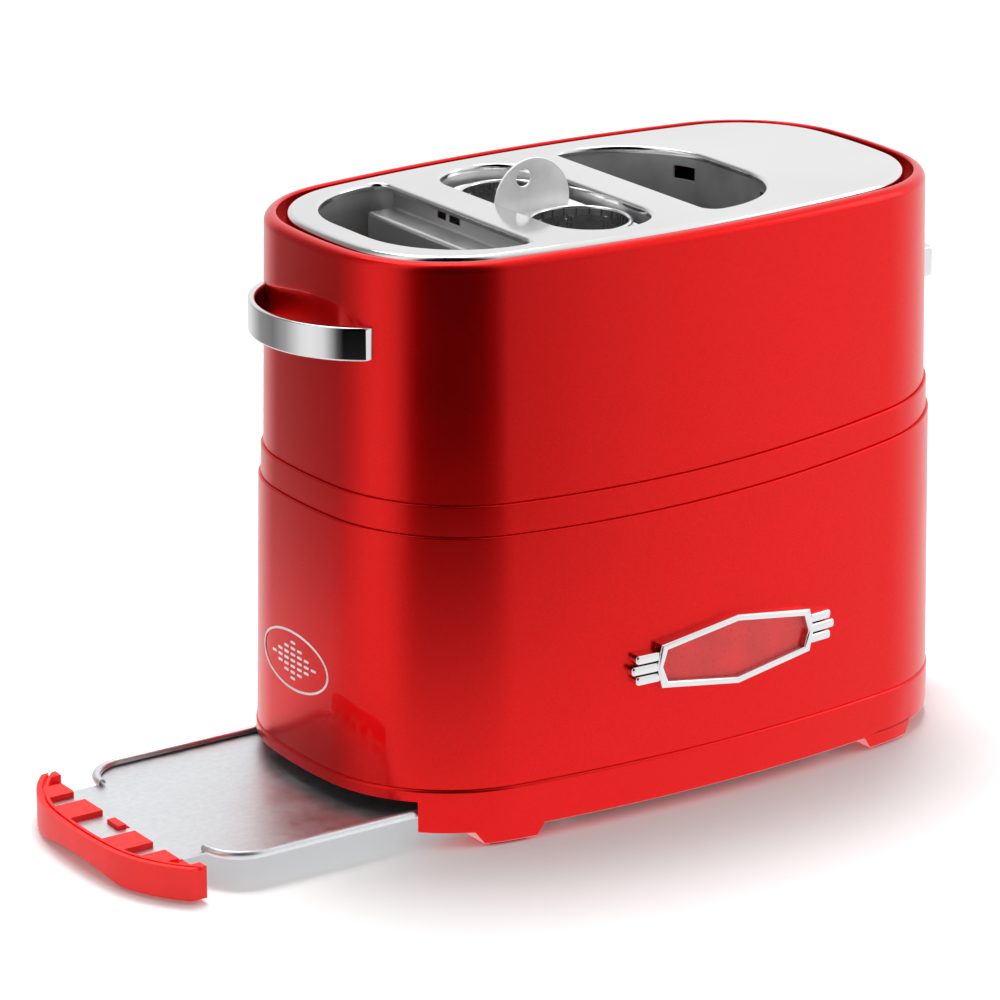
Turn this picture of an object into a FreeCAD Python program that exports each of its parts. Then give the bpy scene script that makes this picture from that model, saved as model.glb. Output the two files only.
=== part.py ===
import FreeCAD, Part
import math
import os
import re

import Sketcher

# Hot dog toaster: oval two-tone casing, two bun wells, a lift-out hot dog cage,
# a sprung carriage with its lever on the right end, and a crumb tray drawn out on the left.
# X runs along the casing, Y across it, Z up; the feet stand on Z = 0.
# Places are worked out from the centre of the casing, and datum_x and datum_y carry
# that centre to where the whole part, tray drawn out, is centred on the origin.

doc = FreeCAD.newDocument("hot_dog_toaster")
sheet = doc.addObject("Spreadsheet::Sheet", "sizes")

SIZES = [
    ("datum_x", 0.0, "casing centre from the origin, set at the end"),
    ("datum_y", 0.0, "casing centre from the origin, set at the end"),
    # Casing
    ("body_half_length", 130.0, "half the casing's length at outline_level"),
    ("body_half_width", 72.5, "half the casing's width at outline_level"),
    ("side_radius", 590.0, "plan radius of the long sides"),
    ("end_radius", 205.0, "plan radius of the ends"),
    ("corner_radius", 52.0, "plan radius of the corners"),
    ("outline_level", 121.6, "height where the plan outline is measured"),
    ("draft_slope", 0.0183, "inward lean of the walls per mm of height"),
    ("wall", 1.6, "shell wall"),
    ("rim_level", 217.0, "top of the casing's rim"),
    ("rim_width", 4.6, "width of the rolled rim"),
    ("rim_depth", 12.0, "depth of the rim's inner face"),
    ("rim_round", 3.6, "outer rounding of the rim"),
    ("ledge_width", 9.0, "ledge inside the rim that carries the top plate"),
    ("ledge_thick", 1.6, "thickness of that ledge"),
    ("seam_low", 127.8, "lowest point of the seam over the belt"),
    ("seam_low_x", -45.0, "where the seams are lowest"),
    ("seam_sweep", 1560.0, "radius of the seams' upward sweep"),
    ("belt_tall", 11.5, "height of the belt"),
    ("belt_step", 0.9, "belt proud of the upper shell"),
    ("lower_step", 1.8, "lower shell proud of the upper shell"),
    ("tongue_tall", 6.0, "belt's tongue behind each shell"),
    ("tongue_thick", 1.2, "thickness of the tongue"),
    ("tongue_gap", 0.15, "tongue's clearance behind the shells"),
    # Base
    ("base_top", 22.3, "top of the base skirt"),
    ("skirt_bottom", 5.6, "lower edge of the base skirt"),
    ("base_step", 0.5, "skirt proud of the lower shell"),
    ("skirt_wall", 2.2, "skirt wall"),
    ("skirt_flange", 8.0, "inward flange on top of the skirt"),
    ("flange_thick", 1.5, "thickness of that flange"),
    ("skirt_lip", 5.0, "inward lip at the foot of the skirt"),
    ("lip_thick", 1.4, "thickness of that lip"),
    ("foot_x", 43.0, "feet in from the casing's ends"),
    ("foot_long", 26.0, "length of a foot where it leaves the skirt"),
    ("foot_slant", 4.0, "how far each side of a foot slants in"),
    ("foot_deep", 11.0, "depth of a foot, inwards from the skirt"),
    ("pad_tall", 1.0, "rubber pad under each foot"),
    ("pad_inset", 2.0, "pad inside the foot's edges"),
    ("sheet_thick", 1.2, "steel sheet of the chassis"),
    ("post_x", 70.0, "base posts in from the casing's ends"),
    ("post_y", 10.3, "base posts in from the casing's sides"),
    ("post_radius", 4.5, "base post"),
    ("screw_radius", 1.75, "base screw shank"),
    ("screw_head", 3.2, "screw head radius"),
    ("screw_head_tall", 1.0, "base screw head height"),
    # Crumb tray
    ("tray_out", 94.0, "how far the tray is drawn out at rest"),
    ("tray_half_width", 19.0, "tray's edges in from the casing's sides"),
    ("tray_long", 45.0, "how much shorter the tray's pan is than the casing"),
    ("tray_front", 28.0, "pan's front edge in from the left end when the tray is in"),
    ("tray_level", 11.5, "height of the tray's upper face"),
    ("tray_sheet", 0.8, "tray sheet"),
    ("tray_corner", 15.0, "plan radius of the tray's front corners"),
    ("hem_radius", 1.7, "rolled hem"),
    ("tray_flange_half", 15.0, "ends of the tray's front flange in from the pan's edges"),
    ("mouth_half", 0.8, "tray's mouth in the skirt beyond the pan's edges"),
    ("mouth_top", 17.6, "top of the tray's mouth"),
    ("tray_gap", 0.35, "tray handle's clearance in the mouth"),
    ("grip_wall", 4.2, "thickness of the tray handle's curved front"),
    ("grip_low", 1.6, "lower edge of the tray handle"),
    ("grip_high", 13.8, "top of the tray handle"),
    ("grip_shelf", 13.0, "depth of the tray handle behind its front"),
    ("grip_recess", 3.6, "finger recess under the tray handle"),
    ("rail_gap", 0.2, "tray's clearance over its rails"),
    ("rail_reach", 5.0, "inward reach of a rail's lip"),
    # Top plate and wells
    ("plate_inset", 8.1, "plate's edge inside the rim's outline"),
    ("plate_proud", 0.5, "plate's face above the rim"),
    ("plate_sheet", 1.0, "plate sheet"),
    ("plate_roll", 2.4, "rounding of the plate's edge"),
    ("lip_deep", 5.0, "depth of the lip round each opening"),
    ("lip_round", 1.4, "rounding of each opening's lip"),
    ("wells_x", -25.0, "middle of the row of wells"),
    ("bun_from_mid", 38.5, "straight side of a bun opening from that middle"),
    ("bun_deep", 21.5, "curved end of the left bun opening in from the left end"),
    ("bun_half_width", 22.5, "ends of the bun openings in from the casing's sides"),
    ("bun_corner", 0.2, "straight stretch between a bun opening's small and large corners"),
    ("bun_small_corner", 5.4, "radius beside the straight side"),
    ("dog_half_length", 51.0, "half the length of the middle opening"),
    ("dog_half_width", 20.4, "half the width of the middle opening"),
    ("dog_corner", 18.9, "corner radius of the middle opening"),
    ("liner_sheet", 0.8, "well liner sheet"),
    ("liner_gap", 0.3, "liner's clearance round the plate's lips"),
    ("well_bottom", 76.0, "lower edge of the well liners"),
    ("guide_ledge", 10.0, "width of a bun guide's ledge"),
    ("guide_drop", 9.0, "ledge below the plate"),
    ("window_wide", 9.0, "clip window"),
    ("window_tall", 5.0, "clip window"),
    # Heaters
    ("board_from_mid", 35.0, "heater boards from the middle of the wells"),
    ("board_thick", 1.0, "heater board"),
    ("board_half", 42.0, "half the heater board's width"),
    ("board_low", 84.0, "lower edge of the heater boards"),
    ("board_high", 203.0, "upper edge of the heater boards"),
    ("ribbon_wide", 1.6, "heating ribbon"),
    ("ribbon_thick", 0.3, "heating ribbon"),
    ("ribbon_pitch", 8.0, "spacing of the heating ribbons"),
    ("spacer_radius", 1.8, "ceramic spacer"),
    ("spacer_y", 20.25, "spacers from the middle, across the casing"),
    # Carriage
    ("travel", 48.0, "how far the lever lowers the carriage"),
    ("frame_level", 69.8, "underside of the carriage frame when it is up"),
    ("frame_thick", 2.0, "carriage frame sheet"),
    ("spine_half", 8.0, "half the width of the frame's spine"),
    ("rack_level", 113.0, "top of the bun racks when they are up"),
    ("rest_level", 105.5, "top of the cage rest when it is up"),
    ("rod_x", 40.0, "guide rods in from the right end"),
    ("rod_y", 22.0, "guide rods from the middle"),
    ("rod_radius", 3.0, "guide rod"),
    ("rod_fit", 0.06, "running clearance of the bushes"),
    ("rod_top", 198.0, "top of the guide rods"),
    ("bush_half", 6.0, "half the side of a bush"),
    ("bush_tall", 12.0, "height of a bush"),
    ("spring_y", 40.0, "lift springs from the middle"),
    ("spring_radius", 3.5, "lift spring"),
    ("spring_wire", 0.9, "lift spring wire"),
    ("chassis_right_x", 64.0, "right chassis plate in from the right end"),
    ("chassis_left_x", 14.0, "left chassis plate in from the left end"),
    # Lever and controls on the right end
    ("lever_level", 168.3, "middle of the lever when it is up"),
    ("arm_tall", 10.0, "lever arm"),
    ("arm_thick", 3.0, "lever arm"),
    ("knob_reach", 20.5, "outer face of the lever knob beyond the right end"),
    ("knob_back", 4.2, "inner face of the lever knob beyond the right end"),
    ("knob_half", 13.0, "half the width of the lever knob"),
    ("knob_tall", 12.5, "height of the lever knob"),
    ("knob_bow", 60.0, "plan radius of the lever knob's face"),
    ("bezel_face", 3.4, "outer face of the slot bezel beyond the right end"),
    ("bezel_half", 9.0, "half the width of the slot bezel"),
    ("bezel_border", 4.6, "bezel beyond the ends of the slot"),
    ("slot_gap", 1.5, "slot's clearance round the lever arm"),
    ("insert_gap", 0.2, "clearance round pieces let into the shells"),
    ("dial_level", 64.0, "centre of the timer dial"),
    ("dial_radius", 22.0, "dial plate"),
    ("dial_face", 4.6, "outer face of the dial plate beyond the right end"),
    ("timer_radius", 16.0, "timer knob"),
    ("timer_tall", 10.5, "timer knob"),
    ("shaft_radius", 3.0, "timer shaft"),
    ("button_level", 96.0, "centre of the cancel button"),
    ("button_radius", 6.0, "cancel button"),
    ("button_face", 6.5, "outer face of the cancel button beyond the right end"),
    ("button_travel", 2.5, "how far the cancel button goes in"),
    ("button_fit", 0.2, "cancel button's clearance in its guide"),
    ("board_x", 22.0, "control board in from the right end"),
    # Cage
    ("cage_drop", 5.9, "cage's plate below the top plate's face"),
    ("cage_sheet", 1.0, "cage plate"),
    ("cage_half_width", 18.2, "half the width of the cage plate"),
    ("cage_half_length", 2.5, "ends of the cage plate in from the middle opening's"),
    ("tube_radius", 17.5, "bore for one hot dog"),
    ("tube_y", 22.8, "bores from the middle"),
    ("ring_wide", 1.9, "width of a cage ring"),
    ("ring_tall", 2.4, "height of a cage ring above its plate"),
    ("wire_radius", 1.0, "cage wire"),
    ("tab_radius", 16.4, "cage tab"),
    ("tab_tall", 20.1, "cage tab above its plate"),
    ("tab_thick", 1.2, "cage tab"),
    ("tab_x", -28.7, "middle of the cage tab"),
    ("tab_y", 2.7, "cage tab behind the middle"),
    ("tab_hole", 3.4, "hole in the tab"),
    ("tab_hole_side", 3.8, "hole off the middle of the tab, to the left"),
    ("tab_hole_drop", 6.9, "hole below the top of the tab"),
    # Carry handle
    ("handle_level", 186.2, "middle of the carry handle"),
    ("handle_tall", 12.4, "height of the carry handle"),
    ("handle_reach", 15.1, "outermost point of the carry handle beyond the left end"),
    ("handle_half", 36.2, "half the width of the carry handle"),
    ("handle_shoulder", -4.0, "where the carry handle's face turns in, beyond the left end"),
    ("handle_thick", 2.4, "carry handle"),
    # Badge
    ("badge_x", 7.6, "middle of the badge"),
    ("badge_level", 58.0, "middle of the badge"),
    ("badge_half", 36.2, "half the length of the badge's frame"),
    ("badge_shoulder", 34.2, "badge corners from its middle"),
    ("badge_end_half", 8.3, "half the height of the badge's ends"),
    ("badge_mid_half", 13.4, "half the height of the badge's middle"),
    ("badge_border", 2.6, "width of the badge's frame"),
    ("badge_thick", 4.0, "badge's frame proud of the shell"),
    ("badge_panel_thick", 1.5, "badge's panel proud of the shell"),
    ("badge_bar_long", 10.6, "badge's bars beyond its frame"),
    ("badge_bar_tall", 3.6, "height of one bar"),
    # Cord gland
    ("gland_x", 72.0, "cord gland in from the right end"),
    ("gland_level", 36.0, "cord gland"),
    ("gland_bore", 3.6, "bore of the cord gland"),
    ("gland_radius", 6.5, "body of the cord gland"),
    ("gland_collar", 9.0, "collar of the cord gland"),
    ("gland_face", 5.5, "outer face of the cord gland beyond the casing's side"),
    # Smaller sizes
    ("end_room", 25.0, "drilling depth at the ends"),
    ("handle_screw_y", 34.4, "carry handle's screws from the middle"),
    ("handle_screw", 1.2, "carry handle's screw shank"),
    ("screw_bite", 0.4, "screws' ends in the handle's feet, beyond its shoulders"),
    ("handle_foot", 3.2, "width of the carry handle's feet"),
    ("screw_inside", 9.5, "where the handle screws' heads start inside the left end"),
    ("guide_wall", 1.6, "wall of the button's guide"),
    ("guide_deep", 12.0, "length of the button's guide"),
    ("vent_pitch", 12.0, "spacing of the vents in the bottom plate"),
    ("vent_wide", 4.0, "width of a vent"),
    ("vent_half", 22.0, "half the length of a vent"),
    ("floor_open_left", 20.5, "crumb opening in the chassis floor, in from the left end"),
    ("floor_open_right", 66.0, "crumb opening in the chassis floor, in from the right end"),
    ("bezel_deep", 7.0, "depth of the slot bezel"),
    ("bar_pitch", 13.5, "spacing of the heat openings in the liners"),
    ("bar_gap", 9.5, "width of a heat opening"),
    ("chassis_left_half", 34.0, "half the width of the left chassis plate"),
    ("chassis_right_half", 15.5, "edges of the right chassis plate in from the casing's sides"),
    ("chassis_foot", 9.0, "foot of the right chassis plate"),
    ("plate_x", 1.2, "carriage plate's inner face behind its bushes"),
    ("spine_end", 1.0, "frame's spine beyond the middle of the left bun rack"),
    ("rack_x", 7.0, "bun rack's inner edge beyond its guide's wall"),
    ("rack_half", 7.0, "bun rack's outer edge in from its well's curved end"),
    ("rack_long", 29.0, "half the length of a bun rack"),
    ("rack_pitch", 11.0, "spacing of the bun rack's slots"),
    ("rack_border", 3.0, "border of a bun rack"),
    ("post_half", 20.0, "rack posts from the middle"),
    ("arm_half", 3.0, "half the width of the frame's arms"),
    ("rest_half", 15.0, "half the width of the cage rest"),
    ("rest_long", 40.0, "half the length of the cage rest"),
    ("keeper_level", 108.0, "underside of the magnet's keeper when it is up"),
    ("magnet_x", 36.5, "electromagnet in from the right end"),
    ("magnet_radius", 8.0, "electromagnet coil"),
    ("magnet_gap", 0.3, "gap under the keeper when the lever is down"),
    ("magnet_seat", 14.0, "height of the magnet's bracket"),
    ("control_half", 32.0, "half the width of the control board"),
    ("control_high", 105.0, "upper edge of the control board"),
    ("pot_deep", 11.0, "depth of the timer switch"),
    ("pot_half", 9.0, "half the side of the timer switch"),
    ("switch_deep", 6.5, "depth of the cancel switch"),
    ("dial_deep", 6.5, "depth of the dial plate"),
    ("flute_radius", 3.0, "flutes of the timer knob"),
    ("flute_out", 1.6, "centre of a flute outside the timer knob"),
    ("badge_bar_pitch", 4.0, "spacing of the badge's bars"),
    ("gland_deep", 16.0, "length of the cord gland"),
    ("gland_collar_thick", 3.0, "collar of the cord gland"),
    ("clip_back", 16.5, "far edge of the clip's hole from the pan's edge"),
    ("clip_front", 11.4, "near edge of the clip's hole from the pan's edge"),
    ("clip_y", 0.4, "clip from the middle"),
    ("clip_half", 4.2, "half the width of the clip"),
    ("shelf_thick", 2.0, "shelf under the tray's flange"),
    ("shelf_reach", 10.0, "edge of that shelf from the pan's edge"),
    ("grip_shelf_half", 50.0, "half the width of that shelf"),
    ("pad_thick", 2.2, "pads over the tray's flange"),
    ("pad_reach", 14.0, "edge of the pads from the pan's edge"),
    ("pad_a", 11.5, "inner pads from the middle"),
    ("pad_b", 24.5, "inner pads to here"),
    ("pad_c", 32.7, "outer pads from here"),
    ("pad_d", 42.5, "outer pads to here"),
    ("ear_long", 6.2, "blocks at the ends of the tray handle"),
    ("ear_reach", 9.8, "edge of those blocks from the pan's edge"),
    ("groove_in", 2.0, "groove on the tray handle, in from its face"),
    ("groove_wide", 1.0, "width of that groove"),
    ("groove_deep", 1.2, "depth of that groove"),
    ("recess_radius", 110.0, "curve of the finger recess"),
]

# Places and sizes that follow from those above
PLACES = [
    ("foot_at", "body_half_length - foot_x"),
    ("post_at_x", "body_half_length - post_x"),
    ("post_at_y", "body_half_width - post_y"),
    ("tray_half", "body_half_width - tray_half_width"),
    ("pan_long", "2 * body_half_length - tray_long"),
    ("pan_front", "body_half_length - tray_front"),
    ("flange_half", "tray_half - tray_flange_half"),
    ("mouth_side", "tray_half + mouth_half"),
    ("bun_depth", "body_half_length + wells_x - bun_from_mid - bun_deep"),
    ("bun_half", "body_half_width - bun_half_width"),
    ("bun_round", "bun_depth - bun_small_corner - bun_corner"),
    ("right_plate", "body_half_length - chassis_right_x"),
    ("left_plate", "body_half_length - chassis_left_x"),
    ("rod_line", "body_half_length - rod_x"),
    ("knob_front", "body_half_length + knob_reach"),
    ("knob_inner", "body_half_length + knob_back"),
    ("bezel_front", "body_half_length + bezel_face"),
    ("dial_front", "body_half_length + dial_face"),
    ("button_front", "body_half_length + button_face"),
    ("board_at", "body_half_length - board_x"),
    ("handle_tip", "body_half_length + handle_reach"),
    ("shoulder_at", "body_half_length + handle_shoulder"),
    ("gland_at", "body_half_length - gland_x"),
    ("gland_front", "body_half_width + gland_face"),
    ("crumb_left", "body_half_length - floor_open_left"),
    ("crumb_right", "body_half_length - floor_open_right"),
    ("plate_at", "rod_line - bush_half - plate_x"),
    ("magnet_at", "body_half_length - magnet_x"),
    ("rack_side", "(bun_depth - guide_ledge - rack_x - rack_half) / 2"),
    ("cage_half", "dog_half_length - cage_half_length"),
    ("right_half", "body_half_width - chassis_right_half"),
    ("rack_at", "bun_from_mid + guide_ledge + rack_x + rack_side"),
    ("spine_left", "rack_at - wells_x + spine_end"),
]

for row, (alias, number, note) in enumerate(SIZES, start=1):
    sheet.set("A%d" % row, alias)
    sheet.set("B%d" % row, str(number))
    sheet.setAlias("B%d" % row, alias)
    sheet.set("C%d" % row, note)
for row, (alias, formula) in enumerate(PLACES, start=len(SIZES) + 1):
    sheet.set("A%d" % row, alias)
    sheet.set("B%d" % row, "=" + formula)
    sheet.setAlias("B%d" % row, alias)
doc.recompute()

NAMES = [alias for alias, number, note in SIZES] + [alias for alias, formula in PLACES]
NAMES.sort(key=len, reverse=True)
WORDS = re.compile(r"(?<![.\w])(" + "|".join(NAMES) + r")(?!\w)")
nodes = {}


def ex(text):
    """Turn the sheet's plain names in a formula into references to its cells."""
    return WORDS.sub(r"sizes.\1", str(text))


def size(name):
    return float(getattr(sheet, name))


def place(obj, x, y, z):
    """Put an object at a place measured from the casing's centre."""
    obj.setExpression(".Placement.Base.x", ex("datum_x + (%s)" % x))
    obj.setExpression(".Placement.Base.y", ex("datum_y + (%s)" % y))
    obj.setExpression(".Placement.Base.z", ex(z))
    return obj


def block(name, x, y, z):
    """A box between two values on each axis."""
    obj = doc.addObject("Part::Box", name)
    obj.setExpression("Length", ex("(%s) - (%s)" % (x[1], x[0])))
    obj.setExpression("Width", ex("(%s) - (%s)" % (y[1], y[0])))
    obj.setExpression("Height", ex("(%s) - (%s)" % (z[1], z[0])))
    return place(obj, x[0], y[0], z[0])


TURNS = {
    "X": FreeCAD.Rotation(FreeCAD.Vector(0, 1, 0), 90),
    "Y": FreeCAD.Rotation(FreeCAD.Vector(1, 0, 0), -90),
    "Z": FreeCAD.Rotation(),
}


def rod(name, radius, x, y, z, length, axis="Z"):
    """A cylinder from a point along +X, +Y or +Z."""
    obj = doc.addObject("Part::Cylinder", name)
    obj.Placement = FreeCAD.Placement(FreeCAD.Vector(), TURNS[axis])
    obj.setExpression("Radius", ex(radius))
    obj.setExpression("Height", ex(length))
    return place(obj, x, y, z)


def join(name, parts):
    obj = doc.addObject("Part::MultiFuse", name)
    obj.Shapes = parts
    obj.Refine = True
    return obj


def overlap(name, parts):
    obj = doc.addObject("Part::MultiCommon", name)
    obj.Shapes = parts
    return obj


def minus(name, base, tools):
    obj = doc.addObject("Part::Cut", name)
    obj.Base = base
    obj.Tool = tools[0] if len(tools) == 1 else join(name + "_tools", tools)
    return obj


def rounded(name, base, radius, chosen):
    """Round the edges that a test picks."""
    doc.recompute()
    obj = doc.addObject("Part::Fillet", name)
    obj.Base = base
    picked = [i for i, edge in enumerate(base.Shape.Edges, start=1) if chosen(edge)]
    if not picked:
        raise RuntimeError("no edge to round on " + name)
    obj.Edges = [(i, radius, radius) for i in picked]
    return obj


def level(edge, z):
    """Whether an edge lies flat at a height."""
    box = edge.BoundBox
    return abs(box.ZMin - z) < 0.01 and abs(box.ZMax - z) < 0.01


def upright(edge):
    box = edge.BoundBox
    return box.XLength < 0.01 and box.YLength < 0.01


def node(name, obj, body="root"):
    """Name a finished sub-part, which is also its file's name."""
    obj.Label = name
    nodes[name] = (obj, body)
    return obj


def sketch_on(body, name, role, offset="0"):
    sketch = body.newObject("Sketcher::SketchObject", name)
    plane = [item for item in body.Origin.OriginFeatures if item.Role == role][0]
    sketch.AttachmentSupport = [(plane, "")]
    sketch.MapMode = "FlatFace"
    sketch.setExpression(".AttachmentOffset.Base.z", ex(offset))
    return sketch


def dimension(sketch, constraint, name, formula):
    index = sketch.addConstraint(constraint)
    sketch.renameConstraint(index, name)
    sketch.setExpression("Constraints." + name, ex(formula))


def oval_arcs():
    """Centres, radii and angles of the eight tangent arcs of the plan outline."""
    side, end, corner = size("side_radius"), size("end_radius"), size("corner_radius")
    side_y = side - size("body_half_width")
    end_x = end - size("body_half_length")
    span = math.hypot(side_y, end_x)
    along = (span ** 2 + (side - corner) ** 2 - (end - corner) ** 2) / (2 * span)
    across = math.sqrt((side - corner) ** 2 - along ** 2)
    corner_x = -end_x / span * along + side_y / span * across
    corner_y = -side_y + side_y / span * along + end_x / span * across
    lean = math.atan2(corner_y + side_y, corner_x)
    open_angle = math.atan2(corner_y, corner_x + end_x)
    half = math.pi
    return [
        (-end_x, 0, "end_radius", -open_angle, open_angle),
        (corner_x, corner_y, "corner_radius", open_angle, lean),
        (0, -side_y, "side_radius", lean, half - lean),
        (-corner_x, corner_y, "corner_radius", half - lean, half - open_angle),
        (end_x, 0, "end_radius", half - open_angle, half + open_angle),
        (-corner_x, -corner_y, "corner_radius", half + open_angle, half + lean),
        (0, side_y, "side_radius", half + lean, 2 * half - lean),
        (corner_x, -corner_y, "corner_radius", 2 * half - lean, 2 * half - open_angle),
    ]


def oval_sketch(body, name, grow, z):
    """The casing's plan outline, grown all round, as a fully constrained sketch."""
    sketch = sketch_on(body, name, "XY_Plane", z)
    up = FreeCAD.Vector(0, 0, 1)
    arcs = oval_arcs()
    for x, y, radius, start, stop in arcs:
        circle = Part.Circle(FreeCAD.Vector(x, y, 0), up, size(radius))
        sketch.addGeometry(Part.ArcOfCircle(circle, start, stop), False)
    for i in range(8):
        sketch.addConstraint(Sketcher.Constraint("Tangent", i, 2, (i + 1) % 8, 1))
    for i in (0, 4):
        sketch.addConstraint(Sketcher.Constraint("PointOnObject", i, 3, -1))
    for i in (2, 6):
        sketch.addConstraint(Sketcher.Constraint("PointOnObject", i, 3, -2))
    for i, (x, y, radius, start, stop) in enumerate(arcs):
        limit = Sketcher.Constraint("Radius", i, size(radius))
        dimension(sketch, limit, "radius%d" % i, "%s + (%s)" % (radius, grow))
    end_x = size("end_radius") - size("body_half_length")
    side_y = size("side_radius") - size("body_half_width")
    right = Sketcher.Constraint("DistanceX", 0, 3, -1, 1, end_x)
    left = Sketcher.Constraint("DistanceX", -1, 1, 4, 3, end_x)
    back = Sketcher.Constraint("DistanceY", 2, 3, -1, 1, side_y)
    front = Sketcher.Constraint("DistanceY", -1, 1, 6, 3, side_y)
    dimension(sketch, right, "right_centre", "end_radius - body_half_length")
    dimension(sketch, left, "left_centre", "end_radius - body_half_length")
    dimension(sketch, back, "back_centre", "side_radius - body_half_width")
    dimension(sketch, front, "front_centre", "side_radius - body_half_width")
    return sketch


def oval(name, grow, z, leaning=True, shift="0"):
    """A solid on the casing's outline, with walls that lean or stand straight."""
    body = doc.addObject("PartDesign::Body", name)
    place(body, shift, "0", "0")
    pad = body.newObject("PartDesign::Pad", name + "_pad")
    pad.Profile = oval_sketch(body, name + "_outline", grow, z[0])
    pad.setExpression("Length", ex("(%s) - (%s)" % (z[1], z[0])))
    if leaning:
        pad.setExpression("TaperAngle", ex("-atan(draft_slope)"))
    body.Tip = pad
    return body


def outline_pad(name, points, plane, reach, both=False):
    """A solid with a straight-sided outline, drawn on a plane and padded off it."""
    body = doc.addObject("PartDesign::Body", name)
    place(body, "0", "0", "0")
    sketch = sketch_on(body, name + "_outline", plane, reach[0])
    corners = []
    for across, up in points:
        corners.append(FreeCAD.Vector(value(across), value(up), 0))
    count = len(corners)
    for i in range(count):
        sketch.addGeometry(Part.LineSegment(corners[i], corners[(i + 1) % count]), False)
    for i in range(count):
        sketch.addConstraint(Sketcher.Constraint("Coincident", i, 2, (i + 1) % count, 1))
    for i, (across, up) in enumerate(points):
        signed_dimension(sketch, "DistanceX", i, corners[i].x, "x%d" % i, across)
        signed_dimension(sketch, "DistanceY", i, corners[i].y, "y%d" % i, up)
    pad = body.newObject("PartDesign::Pad", name + "_pad")
    pad.Profile = sketch
    pad.setExpression("Length", ex("(%s) - (%s)" % (reach[1], reach[0])))
    pad.Midplane = both
    body.Tip = pad
    return body


def signed_dimension(sketch, kind, corner, number, name, formula):
    """Hold one coordinate of a corner, whichever side of the origin it is on."""
    if number >= 0:
        limit = Sketcher.Constraint(kind, -1, 1, corner, 1, number)
        dimension(sketch, limit, name, formula)
    else:
        limit = Sketcher.Constraint(kind, corner, 1, -1, 1, -number)
        dimension(sketch, limit, name, "0 - (%s)" % formula)


def value(formula):
    """The number that a formula of the sheet's names gives."""
    found = sheet.evalExpression(str(formula))
    return float(getattr(found, "Value", found))


# Formulas that several sub-parts share
LOWER_GROW = "lower_step + draft_slope * (outline_level - base_top)"
SKIRT_GROW = LOWER_GROW + " + base_step"
RIM_GROW = "0 - draft_slope * (rim_level - outline_level)"
PLATE_FACE = "rim_level + plate_proud"
LEDGE_TOP = "rim_level - rim_depth + ledge_thick"
LEDGE_BOTTOM = "rim_level - rim_depth"
FLOOR_TOP = "base_top - flange_thick"
FLOOR_BOTTOM = "base_top - flange_thick - sheet_thick"
PLATE_TOP = "skirt_bottom + lip_thick + sheet_thick"
SEAM_X = "seam_low_x"
ACROSS = ("0 - 2 * body_half_width", "2 * body_half_width")
LENGTHWAYS = ("0 - 2 * body_half_length", "2 * body_half_length")


def above_seam(name, drop):
    """Everything over the upswept seam, or over the same sweep some way below it."""
    length = "4 * body_half_width"
    centre = "seam_low + seam_sweep - (%s)" % drop
    return rod(name, "seam_sweep", SEAM_X, ACROSS[0], centre, length, "Y")


# Casing


def make_upper_shell():
    outer = oval("upper_outer", "0", ("outline_level", "rim_level"))
    outer = rounded("upper_rounded", outer, size("rim_round"), lambda e: level(e, size("rim_level")))
    wall_room = oval("upper_wall_room", "0 - wall", ("outline_level", LEDGE_BOTTOM))
    rim_room = oval("upper_rim_room", RIM_GROW + " - rim_width", (LEDGE_TOP, "rim_level + wall"), False)
    hole = RIM_GROW + " - rim_width - ledge_width"
    ledge_room = oval("upper_ledge_room", hole, (LEDGE_BOTTOM, "rim_level"), False)
    ring = minus("upper_ring", outer, [wall_room, rim_room, ledge_room])
    swept = overlap("upper_swept", [ring, above_seam("upper_seam", "0")])
    holes = [
        bezel_prism("upper_bezel_hole"),
        rod("upper_screw_back", "handle_screw", "0 - body_half_length", "handle_screw_y", "handle_level",
            "end_room", "X"),
        rod("upper_screw_front", "handle_screw", "0 - body_half_length", "0 - handle_screw_y",
            "handle_level", "end_room", "X"),
    ]
    node("upper_shell", minus("upper_shell_cut", swept, holes))


def make_belt():
    low = "outline_level - belt_tall"
    lean = "draft_slope * belt_tall"
    outer = oval("belt_outer", "belt_step + " + lean, (low, "rim_level - rim_depth"))
    inner = oval("belt_inner", lean + " - wall", (low, "rim_level - rim_depth"))
    ring = minus("belt_ring", outer, [inner, above_seam("belt_top_seam", "0")])
    band = overlap("belt_band_swept", [ring, above_seam("belt_low_seam", "belt_tall")])
    reach = ("outline_level - belt_tall - tongue_tall", "outline_level + belt_tall + tongue_tall")
    fall = "draft_slope * (belt_tall + tongue_tall)"
    outside = oval("tongue_outer", "%s - wall - tongue_gap" % fall, reach)
    inside = oval("tongue_inner", "%s - wall - tongue_gap - tongue_thick" % fall, reach)
    tongue = minus("belt_tongue", outside, [inside])
    whole = join("belt_whole", [band, tongue])
    hole = bezel_prism("belt_bezel_hole")
    node("belt_band", minus("belt_band_cut", whole, [hole]))


def make_lower_shell():
    reach = ("base_top", "rim_level - rim_depth")
    outer = oval("lower_outer", LOWER_GROW, reach)
    inner = oval("lower_inner", LOWER_GROW + " - wall", reach)
    ring = minus("lower_ring", outer, [inner, above_seam("lower_seam", "belt_tall")])
    holes = [
        bezel_prism("lower_bezel_hole"),
        rod("lower_dial_hole", "dial_radius + insert_gap", "body_half_length / 2", "0", "dial_level",
            "body_half_length", "X"),
        rod("lower_button_hole", "button_radius + guide_wall + insert_gap", "body_half_length / 2", "0",
            "button_level", "body_half_length", "X"),
        rod("lower_gland_hole", "gland_radius + insert_gap", "gland_at", "body_half_width / 2",
            "gland_level", "body_half_width", "Y"),
    ]
    node("lower_shell", minus("lower_shell_cut", ring, holes))


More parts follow.
